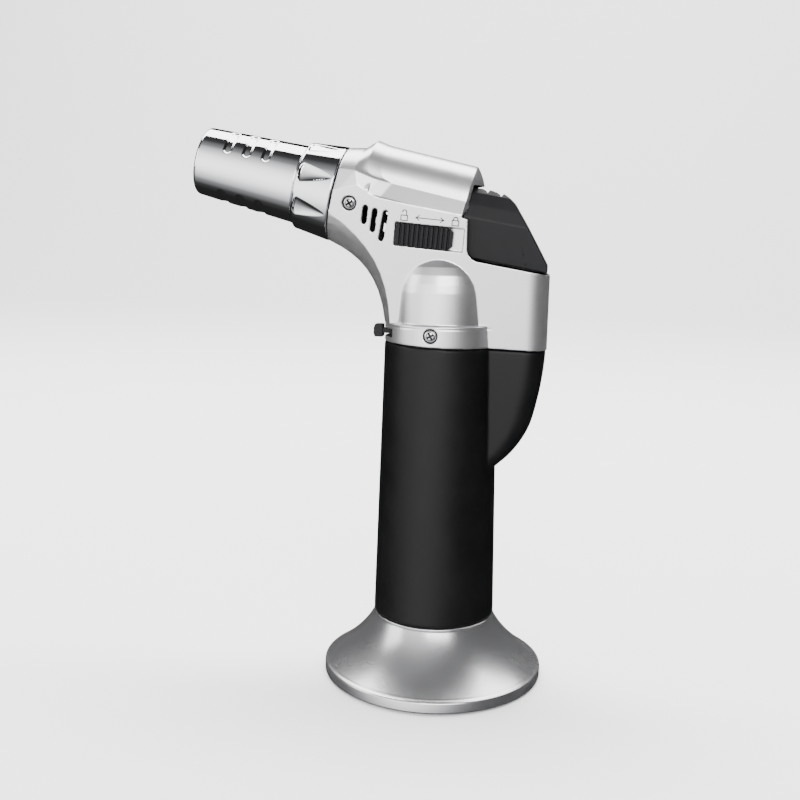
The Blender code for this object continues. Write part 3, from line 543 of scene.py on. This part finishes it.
def hump_profile(inset, lip):
    """The hump, its shoulders and the flanks below them, as points across the barrel axis (side, height)."""
    radius = HUMP_R + lip - inset
    first = math.degrees(math.asin((HUMP_EDGE - HUMP_RISE) / HUMP_R))
    upper = arc((0, HUMP_RISE), radius, first, 180 - first, 60)
    foot_y = HUMP_R + SHOULDER_SLOPE * (HUMP_EDGE + 0.8) - inset * 1.1
    corners = [(-foot_y, -0.8), (-foot_y, -4.0), (-7.0, -7.5), (7.0, -7.5), (foot_y, -4.0), (foot_y, -0.8)]
    lower = [Vector(a).lerp(Vector(b), t) for a, b in zip(corners, corners[1:]) for t in (0, 0.33, 0.67)]
    return [(foot_y, -0.8), *upper, *(tuple(p) for p in lower)]


def nose_and_hump(inset=0.0):
    """Drawn along the barrel axis: round at the collar, then a chamfer up to the hump and its shoulders."""
    lipped, plain = hump_profile(inset, HUMP_LIP), hump_profile(inset, 0.0)
    rear = HUMP_REAR_AT + inset
    front = COLLAR_REAR if inset == 0 else COLLAR_REAR + 3

    def circle(radius):
        return [tuple(Vector(p).normalized() * (radius - inset)) for p in plain]

    def chamfer_foot(height):
        return NOSE_CHAMFER_AT - 3.0 * min(1, max(0, (6.5 - height) / 4))

    def hump_front(height):
        lean = min(1, max(0, (9.0 - height) / 3.6))
        return HUMP_FRONT_AT - inset - 3.6 * (1 - math.sqrt(1 - lean**2))

    sections = [[(y, h, front) for y, h in circle(11.25)],
                [(y, h, chamfer_foot(h)) for y, h in circle(NOSE_R)],
                [(y, h, hump_front(h)) for y, h in lipped],
                [(y, h, hump_front(h) - 3.0) for y, h in plain],
                [(y, h, rear) for y, h in plain]]
    return loft([[(-h, y, d) for y, h, d in section] for section in sections])


def hump_cap():
    """The hump's rear end swells back like a lens."""
    radius = (HUMP_R**2 + HUMP_CAP**2) / (2 * HUMP_CAP)
    profile = [(HUMP_R * math.sin(i * math.pi / 16), 0) for i in range(9)]
    lens = [(r, HUMP_REAR_AT - HUMP_CAP + radius - math.sqrt(radius**2 - r**2)) for r, _ in profile]
    return turned([*lens, (HUMP_R - 0.6, HUMP_REAR_AT + 1.2), (0, HUMP_REAR_AT + 1.2)])


def dome_profile(inset):
    radius = DOME_R - inset
    turns = np.linspace(0, math.pi / 2, 10)
    crown = [(radius * math.cos(a), DOME_CENTRE_Z + radius * math.sin(a)) for a in turns]
    return [(0, PARTING_Z - 4), (radius, PARTING_Z - 4), *crown[:-1], (0, DOME_CENTRE_Z + radius)]


def head_solid(inset=0.0):
    """The head's outer form, or its cavity when the inset is the wall."""
    low = PARTING_Z - 3.5 - 4 * (inset > 0)
    corner = BOX_CORNER_R - inset
    rear = BOX_REAR_X + inset
    block = loft([plan_section(z, 8.0, rear, panel_half(z, inset), corner) for z in (low, 117.0 - inset)])
    below = tool(slab((80, 80, 160), (40 - SHOULDER_FOOT + inset, 0, 0)), BARREL)
    block = combine(tool(block), "INTERSECT", below)
    above = tool(slab((80, 80, 40), (-40 - SHOULDER_FOOT + inset, 0, 17.5 - 20)), BARREL)
    solid = combine(tool(loft(neck_sections(inset))), "DIFFERENCE", above)
    combine(solid, "UNION", tool(nose_and_hump(inset), BARREL), block)
    wedge = loft([[(-60, -panel_half(z, inset), z), (60, -panel_half(z, inset), z),
                   (60, panel_half(z, inset), z), (-60, panel_half(z, inset), z)] for z in (low - 1, 140)])
    combine(solid, "INTERSECT", tool(wedge))
    band_radius, band_top = BAND_R - inset, BAND_TOP - 0.4 * inset
    band = turned([(0, low), (band_radius, low), (band_radius, band_top), (0, band_top)])
    return combine(solid, "UNION", tool(turned(dome_profile(inset))), tool(band))


def trigger_opening():
    """The trigger's cut-out in the side panels, and the way that it takes inside them."""
    front = TRIGGER_FRONT_X
    side = rounded([(-40, trigger_line(-40), 0), (front, trigger_line(front), TRIGGER_CORNER_R),
                    (front, 115.6, 0), (front - 0.9, TRIGGER_TOP + 0.5, 0), (-40, TRIGGER_TOP + 0.5, 0)])
    reach = front + 1.3 + TRIGGER_TRAVEL + 0.8
    inside = [(-12, trigger_line(-12) + 0.05), (reach, trigger_line(reach) + 0.05),
              (reach, TRIGGER_TOP + 1.2), (-4, TRIGGER_TOP + 0.6), (-12, TRIGGER_TOP + 0.45)]
    section = trigger_section(FIT)
    way = combine(tool(prism(inside, -9, 9)), "INTERSECT", tool(section, trigger_place()))
    return tool(prism(side, -20, 20)), way


def capsule(one, two, radius):
    """A round-ended slot between two points, as an outline."""
    lean = math.degrees(math.atan2(two[1] - one[1], two[0] - one[0]))
    return arc(two, radius, lean - 90, lean + 90, 5) + arc(one, radius, lean + 90, lean + 270, 5)


def trigger_place():
    return at(TRIGGER_BOTTOM[0], 0, TRIGGER_BOTTOM[1]) @ Matrix.Rotation(-TRIGGER_TILT, 4, "Y")


def trigger_section(clearance=0.0):
    """The trigger's shape across its travel. It follows the panels and rounds over at the top."""
    wide = panel_half(TRIGGER_BOTTOM[1], HEAD_WALL + FIT) + clearance
    top = TRIGGER_TOP - TRIGGER_BOTTOM[1]
    half = [(wide, -clearance), (wide + 9.5 * PANEL_SLOPE - 0.1, 9.5), (7.2 + clearance, 12.6),
            (6.1 + clearance, 15.2), (4.4 + clearance, top - 0.1 + clearance)]
    outline = half + [(-y, z) for y, z in reversed(half)]
    return loft([[(x, y, z) for y, z in outline] for x in (-22, 12)])


def band_screw_place(side):
    x, z = BAND_SCREW
    turn = Matrix.Rotation(-side * math.pi / 2, 4, "X")
    return at(x, side * math.sqrt(BAND_R**2 - x**2), z) @ turn


# ---------------------------------------------------------------- stand and sleeve

def stand():
    """A flared foot with a thin rim, a soft flare and a bright raised lip under the sleeve."""
    flare = []
    for i in range(41):
        t = i / 40
        a, b, c = (1 - t) ** 2, 2 * t * (1 - t), t * t
        flare.append((a * (BASE_R - 0.5) + b * 18.2 + c * (BASE_NECK_R - 0.05),
                      a * BASE_RIM + b * 8.5 + c * (BASE_FLARE_TOP - 0.55)))
    rim = [(BASE_R - 0.5 + 0.5 * math.sin(a), 0.5 - 0.5 * math.cos(a))
           for a in np.linspace(0, math.pi / 2, 7)]
    brow = [(BASE_R - 0.5 + 0.5 * math.cos(a), BASE_RIM - 0.55 + 0.5 * math.sin(a))
            for a in np.linspace(0, math.pi / 2, 7)]
    lip = [(BASE_NECK_R - 0.22 + 0.24 * math.cos(a), BASE_FLARE_TOP - 0.27 + 0.24 * math.sin(a))
           for a in np.linspace(-1.2, math.pi / 2, 9)]
    floor = TANK_BOTTOM - GAP
    boss = REFILL_HOLE_R + BASE_WALL
    under = [(boss - 0.3, 4.0), (boss, 4.3), (boss, floor - BASE_WALL - 0.6), (boss + 0.6, floor - BASE_WALL),
             (SLEEVE_BORE_R + 0.8, floor - BASE_WALL), (17.4, 8.0), (20.0, 6.2), (22.6, 4.2),
             (BASE_R - 2.9, 2.8), (BASE_R - 2.6, 2.4), (BASE_R - 2.5, 0.2)]
    profile = [(BASE_R - 2.3, 0), *rim, *brow, *flare[1:], *lip, (SLEEVE_BORE_R, BASE_FLARE_TOP),
               (SLEEVE_BORE_R, floor), (REFILL_HOLE_R, floor), (REFILL_HOLE_R, 4.3),
               (REFILL_HOLE_R + 0.3, 4.0), *under]
    made = new_object("stand", turned(profile, 200), STAND_SILVER_SHADED)
    made.data.set_sharp_from_angle(angle=math.radians(40))
    stands_for(made, "torch", "satin_silver", "base_stand")


def sleeve():
    bottom = BASE_FLARE_TOP + GAP
    top = 86.0
    taper = (SLEEVE_TOP_R - SLEEVE_BOTTOM_R) / (PARTING_Z - BASE_FLARE_TOP)
    profile = [(0, bottom), (SLEEVE_BOTTOM_R - 0.25, bottom), (SLEEVE_BOTTOM_R, bottom + 0.3),
               (SLEEVE_TOP_R + taper * (top - PARTING_Z), top), (0, top)]
    made = tool(turned(profile, 160))
    rows = fin_sections(0, 0)
    smooth = []
    for i in range(len(rows) - 1):
        for t in np.linspace(0, 1, 6, endpoint=False):
            around = [rows[max(i - 1, 0)], rows[i], rows[i + 1], rows[min(i + 2, len(rows) - 1)]]
            row = []
            for a, b, c, d in zip(*(map(Vector, ring) for ring in around)):
                row.append(0.5 * (2 * b + (c - a) * t + (2 * a - 5 * b + 4 * c - d) * t**2
                                  + (3 * b - a - 3 * c + d) * t**3))
            smooth.append(row)
    smooth.append([Vector(p) for p in rows[-1]])
    combine(made, "UNION", tool(loft(smooth)))
    bore = turned([(0, 10), (SLEEVE_BORE_R, 10), (SLEEVE_BORE_R, 90), (0, 90)])
    sections = fin_sections(1.6, 60)
    pocket = [[(min(x, -SLEEVE_BORE_R - 1.6), y, z + 1.0) for x, y, z in ring] for ring in sections]
    combine(made, "DIFFERENCE", tool(bore), tool(loft(pocket)), parting_cutter(True, -GAP))
    made.name = "handle_grip"
    moulding(made, 0.28, 4, SLEEVE_BLACK, 0.45)
    stands_for(made, "torch", "black_sleeve", "handle_sleeve")


# ---------------------------------------------------------------- chrome barrel and collar

def outline_radius(points, along):
    d, r = zip(*sorted(points))
    return np.interp(along, d, r)


def polar(name, along, outer, inner, steps, dent, look):
    """A hollow turned piece about the barrel axis. The dent takes (angle, place along) and gives a depth."""
    turn = np.linspace(0, 2 * math.pi, steps, endpoint=False)
    rings = []
    for d, r in zip(along, outer):
        radius = r - dent(turn, d)
        rings.append([(-rr * math.sin(a), rr * math.cos(a), d) for a, rr in zip(turn, radius)])
    for d, r in inner:
        rings.append([(-r * math.sin(a), r * math.cos(a), d) for a in turn])
    return new_object(name, wrap(rings), look, BARREL)


def turn_apart(angle, centre):
    return (angle - centre + math.pi) % (2 * math.pi) - math.pi


def barrel_dents(angle, d):
    """Rows of three round-ended hollows, each lying across the barrel, at three places round it."""
    depth = np.zeros_like(angle)
    for k in range(3):
        arc_at = turn_apart(angle, math.radians(49 + 120 * k)) * 8.4
        for row in range(3):
            off = d - (MOUTH_AT - 7.4 - 4.75 * row)
            if abs(off) > 2:
                continue
            reach = np.maximum(np.abs(arc_at) - 3.1, 0)
            away = np.sqrt(reach**2 + off**2)
            depth = np.maximum(depth, 0.42 * (1 - blend_between(away, 0.55, 1.2)))
    return depth


def collar_dents(angle, d):
    """Leaf-shaped scoops that start wide at the front seam and run out to a point."""
    back = COLLAR_FRONT - GAP - 0.45 - d
    if back < 0 or back > 8.2:
        return np.zeros_like(angle)
    depth = np.zeros_like(angle)
    half = 2.5 * (1 - back / 8.2) ** 0.75 * min(1.0, 0.55 + back / 2.0)
    for k in range(8):
        side = turn_apart(angle, math.radians(17 + 45 * k)) * 10.5
        share = np.clip(np.abs(side) / max(half, 1e-4), 0, 1)
        fade = min(1.0, back / 0.5) * (1 - (back / 8.2) ** 3)
        depth = np.maximum(depth, 0.62 * (1 - share**2) ** 0.8 * fade)
    return depth


def barrel():
    seat = COLLAR_FRONT - 0.2
    body = np.concatenate([[COLLAR_FRONT], np.linspace(COLLAR_FRONT + 0.12, MOUTH_AT - 1.0, 205)])
    slope = (MOUTH_R - BARREL_REAR_R) / (MOUTH_AT - 1.0 - COLLAR_FRONT)
    outer = list(BARREL_REAR_R + slope * (body - COLLAR_FRONT))
    outer[0] -= 0.12
    edge = [(MOUTH_AT - 1.0 + math.sin(a), MOUTH_R - 1.0 + math.cos(a)) for a in np.linspace(0.15, 1.5, 10)]
    along = [30.6, seat, *body, *[d for d, _ in edge]]
    radii = [8.7, 8.7, *outer, *[r for _, r in edge]]
    inside = [(MOUTH_AT - 0.02, BARREL_BORE_R + 0.1), (MOUTH_AT - 0.12, BARREL_BORE_R), (50.0, BARREL_BORE_R),
              (30.6, BARREL_BORE_R)]
    made = polar("barrel_tube", along, radii, inside, 360, barrel_dents, CHROME)
    made.data.set_sharp_from_angle(angle=math.radians(50))
    stands_for(made, "torch", "chrome", "nozzle_barrel")


def collar():
    low, high = COLLAR_REAR + GAP, COLLAR_FRONT - GAP
    along = np.concatenate([[low, low + 0.05, low + 0.15, low + 0.3], np.linspace(low + 0.45, high - 0.6, 84),
                            [high - 0.45, high - 0.3, high - 0.15, high - 0.04, high]])
    knots = [(low, COLLAR_REAR_R - 0.22), (low + 0.05, COLLAR_REAR_R - 0.1),
             (low + 0.15, COLLAR_REAR_R - 0.03), (low + 0.3, COLLAR_REAR_R), (low + 0.5, COLLAR_REAR_R),
             (high - 0.6, COLLAR_FRONT_R + 0.15), (high - 0.3, COLLAR_FRONT_R - 0.02),
             (high - 0.04, BARREL_REAR_R + 0.5), (high, BARREL_REAR_R + 0.3)]
    inside = [(high, 8.7 + GAP), (low, 8.7 + GAP)]
    made = polar("barrel_collar", along, outline_radius(knots, along), inside, 360, collar_dents, CHROME)
    made.data.set_sharp_from_angle(angle=math.radians(50))
    stands_for(made, "torch", "chrome", "nozzle_collar")


def burner():
    tip = tool(turned([(0, 48.3), (4.2, 48.3), (4.8, 49.2), (4.8, 52.7), (4.5, 53.0), (0, 53.0)], 64), BARREL)
    for i in range(7):
        reach = 0 if i == 6 else 3.2
        turn = math.radians(60 * i)
        port = turned([(0, 47), (0.8, 47), (0.8, 54), (0, 54)], 24)
        combine(tip, "DIFFERENCE", tool(port, BARREL @ Matrix.Translation((reach * math.cos(turn),
                                                                            reach * math.sin(turn), 0))))
    tip.name = "burner_head"
    crisp(tip, 0.1, HEATED, 2)
    stands_for(tip, "torch", "stainless", "burner_tip")


# ---------------------------------------------------------------- head shells

def split_off(half, side):
    """Keeps one side of the seam and closes the cut."""
    bm = bmesh.new()
    bm.from_mesh(half.data)
    cut = bmesh.ops.bisect_plane(bm, geom=[*bm.verts, *bm.edges, *bm.faces], dist=1e-7,
                                 plane_co=(0, side * SEAM_GAP * MM, 0), plane_no=(0, -side, 0),
                                 clear_outer=True)
    edges = [e for e in cut["geom_cut"] if isinstance(e, bmesh.types.BMEdge)]
    bmesh.ops.triangle_fill(bm, use_beauty=True, edges=edges, normal=(0, -side, 0))
    bmesh.ops.recalc_face_normals(bm, faces=bm.faces)
    bm.to_mesh(half.data)
    bm.free()


def darken_inside(half, outside):
    """Paints near-black shade onto what lies deeper than half a wall, but not onto the floor of the slider's
    window.
    """
    half.data.materials.append(PAINTED_SHADE)
    middle = panel_place(*WINDOW_CENTRE, tilt=WINDOW_TILT).inverted()
    for face in half.data.polygons:
        centre = face.center / MM - Vector((AXIS_X, 0, 0))
        x, y, z = middle @ centre
        in_window = abs(x) < WINDOW[0] / 2 + 0.2 and abs(y) < WINDOW[1] / 2 + 0.2 and -1.2 < z < 0.5
        if in_window and centre.y > 0:
            continue
        _, _, _, away = outside.find_nearest(face.center)
        if away > 0.45 * MM:
            face.material_index = 1


def head():
    shell = head_solid()
    combine(shell, "UNION", tool(hump_cap(), BARREL @ Matrix.Translation((-HUMP_RISE, 0, 0))))
    bm = bmesh.new()
    bm.from_mesh(shell.data)
    outside = BVHTree.FromBMesh(bm)
    bm.free()
    combine(shell, "DIFFERENCE", parting_cutter(False), head_solid(HEAD_WALL), *trigger_opening())
    for one, two in VENTS:
        combine(shell, "DIFFERENCE", tool(prism(capsule(one, two, VENT_R), -14, 14)))
    combine(shell, "DIFFERENCE", adjuster_slot(BAND_R, 8.2))
    for place in (panel_place(*FRONT_SCREW), band_screw_place(1), band_screw_place(-1)):
        pocket = turned([(0, -12), (SCREW_R + GAP, -12), (SCREW_R + GAP, -1.0), (SCREW_HEAD_R + GAP, -1.0),
                         (SCREW_HEAD_R + GAP, 2), (0, 2)])
        combine(shell, "DIFFERENCE", tool(pocket, place))
    groove = turned([(BAND_R - 0.14, BAND_TOP - 0.75), (BAND_R + 1, BAND_TOP - 0.75),
                     (BAND_R + 1, BAND_TOP - 0.45), (BAND_R - 0.14, BAND_TOP - 0.45)], 160)
    combine(shell, "DIFFERENCE", tool(groove))
    for side, name in ((1, "shell_left"), (-1, "shell_right")):
        half = shell.copy()
        half.data = shell.data.copy()
        half.name = name
        bpy.context.scene.collection.objects.link(half)
        split_off(half, side)
        if side == 1:
            place = panel_place(*WINDOW_CENTRE, tilt=WINDOW_TILT)
            window = slab((WINDOW[0], WINDOW[1], 2), (0, 0, 1 - WINDOW_DEPTH))
            slot = slab((KNOB_NECK + LOCK_TRAVEL + 1.3, 2.2, 8), (0.1, 0, -3))
            combine(half, "DIFFERENCE", tool(window, place), tool(slot, place))
        moulding(half, HEAD_VOXEL, 4, SILVER, 0.4)
        darken_inside(half, outside)
        stands_for(half, "torch", "satin_silver", "head_shell_left" if side == 1 else "head_shell_right")
    bpy.data.objects.remove(shell)


# ---------------------------------------------------------------- trigger, slider and screws

def trigger_button():
    low = FIT + 0.1
    rear = BOX_REAR_X + 0.6
    front = TRIGGER_FRONT_X + 1.3
    ribs = [(-7.7, TRIGGER_TOP)]
    for x, z in ((-10.2, 118.6), (-13.4, 117.8)):
        ribs += [(x + 0.75, z + 0.35), (x + 0.25, z - 0.5), (x - 0.25, z - 0.55), (x - 0.7, z + 0.15)]
    side = rounded([(front, trigger_line(front) + low, 2.4), (front, 118.4, 0), *[(x, z, 0) for x, z in ribs],
                    (-15.4, 117.1, 1.0), (-16.6, 115.9, 1.0), (-19.6, 110.9, 0), (-22.6, 105.6, 2.0),
                    (rear, 101.6, 0.8), (rear, trigger_line(rear) + low, 0)])
    body = combine(tool(prism(side, -12, 12)), "INTERSECT", tool(trigger_section(), trigger_place()))
    for y in (-1, 1):
        crease = prism([(-20.4, 100), (-20.1, 100), (-17.4, 111.4), (-17.7, 111.4)], -0.32, 0.32)
        side_at = Matrix.Translation((0, y * panel_half(104.5, HEAD_WALL + FIT), 0))
        combine(body, "DIFFERENCE", tool(crease, side_at))
    hollow = prism([(-2, 104.6), (-2, 117.2), (-11.2, 116.0), (-19.0, 104.6), (-19.0, 102.6)], -5.2, 5.2)
    combine(body, "DIFFERENCE", tool(hollow))
    combine(body, "UNION", tool(slab((8.0, 2.6, 2.2), (-2.1, -5.0, 104.2))))
    body.name = "trigger_button"
    moulding(body, 0.17, 3, BLACK, 0.6)
    stands_for(body, "trigger", "black_plastic", "trigger")


def slider():
    place = panel_place(*WINDOW_CENTRE, tilt=WINDOW_TILT)
    long, high = KNOB
    centre = WINDOW[0] / 2 - 0.25 - long / 2
    top, low = 0.3, 0.15 - WINDOW_DEPTH
    outline = [(-long / 2, -high / 2 + 0.8), (-long / 2 + 0.8, -high / 2), (long / 2, -high / 2),
               (long / 2, high / 2), (-long / 2 + 0.8, high / 2), (-long / 2, high / 2 - 0.8)]
    knob = tool(loft([[(centre + x, y, z) for x, y in outline] for z in (low, top)]), place)
    pitch = long / 12
    for i in range(11):
        x = centre + pitch * (i - 5)
        groove = prism([(x - 0.3, top + 0.1), (x - 0.12, top - 0.5), (x + 0.12, top - 0.5),
                        (x + 0.3, top + 0.1)], -high, high)
        combine(knob, "DIFFERENCE", tool(groove, place))
    combine(knob, "UNION", tool(slab((KNOB_NECK, 1.6, 1.0), (centre, 0, low - 0.35)), place))
    knob.name = "lock_knob"
    crisp(knob, 0.07, BLACK, 2, 25)
    stands_for(knob, "lock_slider", "black_plastic", "lock_slider")


def cross_screw(name, node, place, length):
    low = -0.9
    dome = [(SCREW_HEAD_R * math.sin(a), -0.42 + 0.47 * math.cos(a)) for a in np.linspace(math.pi / 2, 0, 9)]
    made = tool(turned([(0, -length), (SCREW_R, -length), (SCREW_R, low), (SCREW_HEAD_R, low), *dome[:-1],
                        (0, 0.05)], 48), place)
    for spin in (0, 1):
        arm = loft([[(sx * 0.5 * w, sy * 0.5 * t, z) for sx, sy in ((-1, -1), (1, -1), (1, 1), (-1, 1))]
                    for w, t, z in ((1.2, 0.36, -0.62), (2.1, 0.56, 0.3))])
        combine(made, "DIFFERENCE", tool(arm, place @ Matrix.Rotation(math.pi / 2 * spin + 0.5, 4, "Z")))
    made.name = name
    crisp(made, 0.04, STEEL, 2, 35)
    # The cross recess is painted near black as shade.
    made.data.materials.append(PAINTED_SHADE)
    local = (Matrix.Translation((AXIS_X, 0, 0)) @ place).inverted()
    for face in made.data.polygons:
        x, y, z = local @ (face.center / MM)
        if z < -0.04 and math.hypot(x, y) < 1.0:
            face.material_index = 1
    stands_for(made, "torch", "steel", node)


def mark(name, strokes, place):
    """A flat mark made of thick lines, just proud of the panel."""
    bm = bmesh.new()
    for points, width in strokes:
        for (x1, y1), (x2, y2) in zip(points, points[1:]):
            run = Vector((x2 - x1, y2 - y1)).normalized() * width / 2
            side = Vector((-run.y, run.x))
            ring = [(x1 - run.x + side.x, y1 - run.y + side.y), (x2 + run.x + side.x, y2 + run.y + side.y),
                    (x2 + run.x - side.x, y2 + run.y - side.y), (x1 - run.x - side.x, y1 - run.y - side.y)]
            ring = [(x, -y) for x, y in ring]
            low = [bm.verts.new((x, y, -0.02)) for x, y in ring]
            high = [bm.verts.new((x, y, 0.025)) for x, y in ring]
            bm.faces.new(high)
            bm.faces.new(low[::-1])
            for i in range(4):
                bm.faces.new((low[i], low[(i + 1) % 4], high[(i + 1) % 4], high[i]))
    made = new_object(name, bm, INK, place)
    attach(made, "torch")


def marks():
    """Plain signs over the slider: a padlock open in front, an arrow, and a padlock shut behind."""
    place = panel_place(2.2, 111.9, tilt=WINDOW_TILT)
    line = 0.22
    for name, x, lift in (("mark_open", 5.9, 0.45), ("mark_shut", -5.9, 0.0)):
        case = [(x - 0.75, -1.0), (x + 0.75, -1.0), (x + 0.75, 0.15), (x - 0.75, 0.15), (x - 0.75, -1.0)]
        bow = [(x + px, lift + py) for px, py in arc((0, 0.42), 0.48, 0, 180, 8)]
        legs = [([(x - 0.48, 0.15), (x - 0.48, 0.42 + lift)], line)]
        if lift == 0:
            legs.append(([(x + 0.48, 0.15), (x + 0.48, 0.42)], line))
        mark(name, [(case, line), (bow, line), *legs], place)
    arrow = [([(-3.2, -0.1), (3.2, -0.1)], line), ([(-2.5, 0.4), (-3.2, -0.1), (-2.5, -0.6)], line),
             ([(2.5, 0.4), (3.2, -0.1), (2.5, -0.6)], line)]
    mark("mark_arrow", arrow, place)


# ---------------------------------------------------------------- light, floor and camera

def light(name, place, aim, size, power, colour=(1, 1, 1)):
    data = bpy.data.lights.new(name, "AREA")
    data.shape = "RECTANGLE"
    data.size, data.size_y = size
    data.energy = power
    data.color = colour
    made = bpy.data.objects.new(name, data)
    bpy.context.scene.collection.objects.link(made)
    made.location = place
    made.rotation_euler = (Vector(aim) - Vector(place)).to_track_quat("-Z", "Y").to_euler()
    return made


WORLD_BRIGHT_SIDE = (0.36, 0.93, 0.0)
WORLD_STOPS = [(0.0, 0.015), (0.5, 0.02), (0.64, 0.05), (0.78, 0.28), (0.90, 1.2), (1.0, 2.6)]
WORLD_STRENGTH = 1.25
SWEEP_FOOT = -1.2  # metres along Y, where the floor starts to curve up
SWEEP_R = 1.4
SWEEP_HALF_WIDTH = 6


def studio():
    world = bpy.data.worlds.new("studio")
    bpy.context.scene.world = world
    world.use_nodes = True
    nodes, links = world.node_tree.nodes, world.node_tree.links
    split = nodes.new("ShaderNodeVectorMath")
    ramp = nodes.new("ShaderNodeValToRGB")
    split.operation = "DOT_PRODUCT"
    split.inputs[1].default_value = WORLD_BRIGHT_SIDE
    links.new(nodes.new("ShaderNodeTexCoord").outputs["Generated"], split.inputs[0])
    half = nodes.new("ShaderNodeMapRange")
    half.inputs["From Min"].default_value = -1
    links.new(split.outputs["Value"], half.inputs["Value"])
    links.new(half.outputs["Result"], ramp.inputs["Fac"])
    links.new(ramp.outputs["Color"], nodes["Background"].inputs["Color"])
    for i, (position, value) in enumerate(WORLD_STOPS):
        stop = ramp.color_ramp.elements[i] if i < 2 else ramp.color_ramp.elements.new(position)
        stop.position = position
        stop.color = (value, value, value * 1.01, 1)
    nodes["Background"].inputs["Strength"].default_value = WORLD_STRENGTH

    light("overhead", (0.0, -0.29, 0.72), (0, -0.05, 0.1), (1.3, 0.52), 16.0)
    glow = light("backdrop", (0.0, -0.6, 2.2), (0, -2.0, 0.2), (3.0, 1.0), 160.0)
    glow.visible_glossy = False
    light("front", (-0.25, 0.85, 0.42), (0, 0, 0.08), (0.7, 0.5), 7.0)
    light("side", (0.8, 0.3, 0.35), (0, 0, 0.1), (0.4, 0.6), 3.0)

    sweep = [(3.0, 0.0), (SWEEP_FOOT, 0.0)]
    sweep += [(SWEEP_FOOT - SWEEP_R * math.sin(a), SWEEP_R - SWEEP_R * math.cos(a))
              for a in np.linspace(0.05, math.pi / 2, 30)]
    sweep.append((SWEEP_FOOT - SWEEP_R, 4.0))
    bm = bmesh.new()
    rows = [[bm.verts.new((x, y, z)) for x in (-SWEEP_HALF_WIDTH, SWEEP_HALF_WIDTH)] for y, z in sweep]
    for one, two in zip(rows, rows[1:]):
        bm.faces.new((*one, *two[::-1]))
    bmesh.ops.recalc_face_normals(bm, faces=bm.faces)
    floor = new_floor("floor", bm)
    floor.data.shade_smooth()
    floor.location.z = -0.0002
    floor.visible_glossy = False


def new_floor(name, bm):
    mesh = bpy.data.meshes.new(name)
    bm.to_mesh(mesh)
    bm.free()
    look = Look(name + "_pale", (0.90, 0.90, 0.90), 0.75)
    look.roughness(look.noise(40, 3), 0.3, 0.7, 0.7, 0.8)
    mesh.materials.append(look.made)
    made = bpy.data.objects.new(name, mesh)
    bpy.context.scene.collection.objects.link(made)
    return made


def camera():
    yaw, pitch, roll = math.radians(8.155), math.radians(-9.272), math.radians(1.224)
    ahead = Vector((math.cos(pitch) * math.sin(yaw), -math.cos(pitch) * math.cos(yaw), math.sin(pitch)))
    right = ahead.cross(Vector((0, 0, 1))).normalized()
    up = right.cross(ahead)
    r = right * math.cos(roll) + up * math.sin(roll)
    u = -right * math.sin(roll) + up * math.cos(roll)
    data = bpy.data.cameras.new("camera")
    data.sensor_width = 36.0
    data.lens = 46.28
    data.clip_start = 0.005
    made = bpy.data.objects.new("camera", data)
    bpy.context.scene.collection.objects.link(made)
    turn = Matrix((r, u, -ahead)).transposed().to_4x4()
    made.matrix_world = Matrix.Translation((-0.042398, 0.246271, 0.108739)) @ turn
    bpy.context.scene.camera = made


# ---------------------------------------------------------------- the torch

HEAD_VOXEL = 0.15

camera()
studio()
KEPT = {"fuel_tank": TANK, "tank_cap": DARK, "wick_tube": WICK, "outlet_valve_body": BRASS,
        "outlet_valve_stem": BRASS, "flame_adjuster": BLACK, "valve_lever": BLACK, "lever_pin": STEEL,
        "refill_valve_body": BRASS, "refill_valve_stem": STEEL, "refill_valve_spring": STEEL,
        "refill_gasket": RUBBER, "burner_mount": CAST_ZINC_SHADED, "gas_jet": BRASS, "mixing_tube": BRASS,
        "electrode_insulator": CERAMIC, "electrode": DARK_STEEL, "ignition_lead": LEAD, "piezo_body": DARK,
        "piezo_plunger": WHITE, "piezo_spring": STEEL, "gas_hose": HOSE, "lock_bar": DARK}
for node, look in KEPT.items():
    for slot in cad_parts[node].material_slots:
        slot.material = look

stand()
sleeve()
barrel()
collar()
burner()
head()
trigger_button()
slider()
cross_screw("screw_front", "front_screw", panel_place(*FRONT_SCREW), 5.2)
cross_screw("screw_band_left", "band_screw_left", band_screw_place(1), 3.6)
cross_screw("screw_band_right", "band_screw_right", band_screw_place(-1), 3.6)
marks()
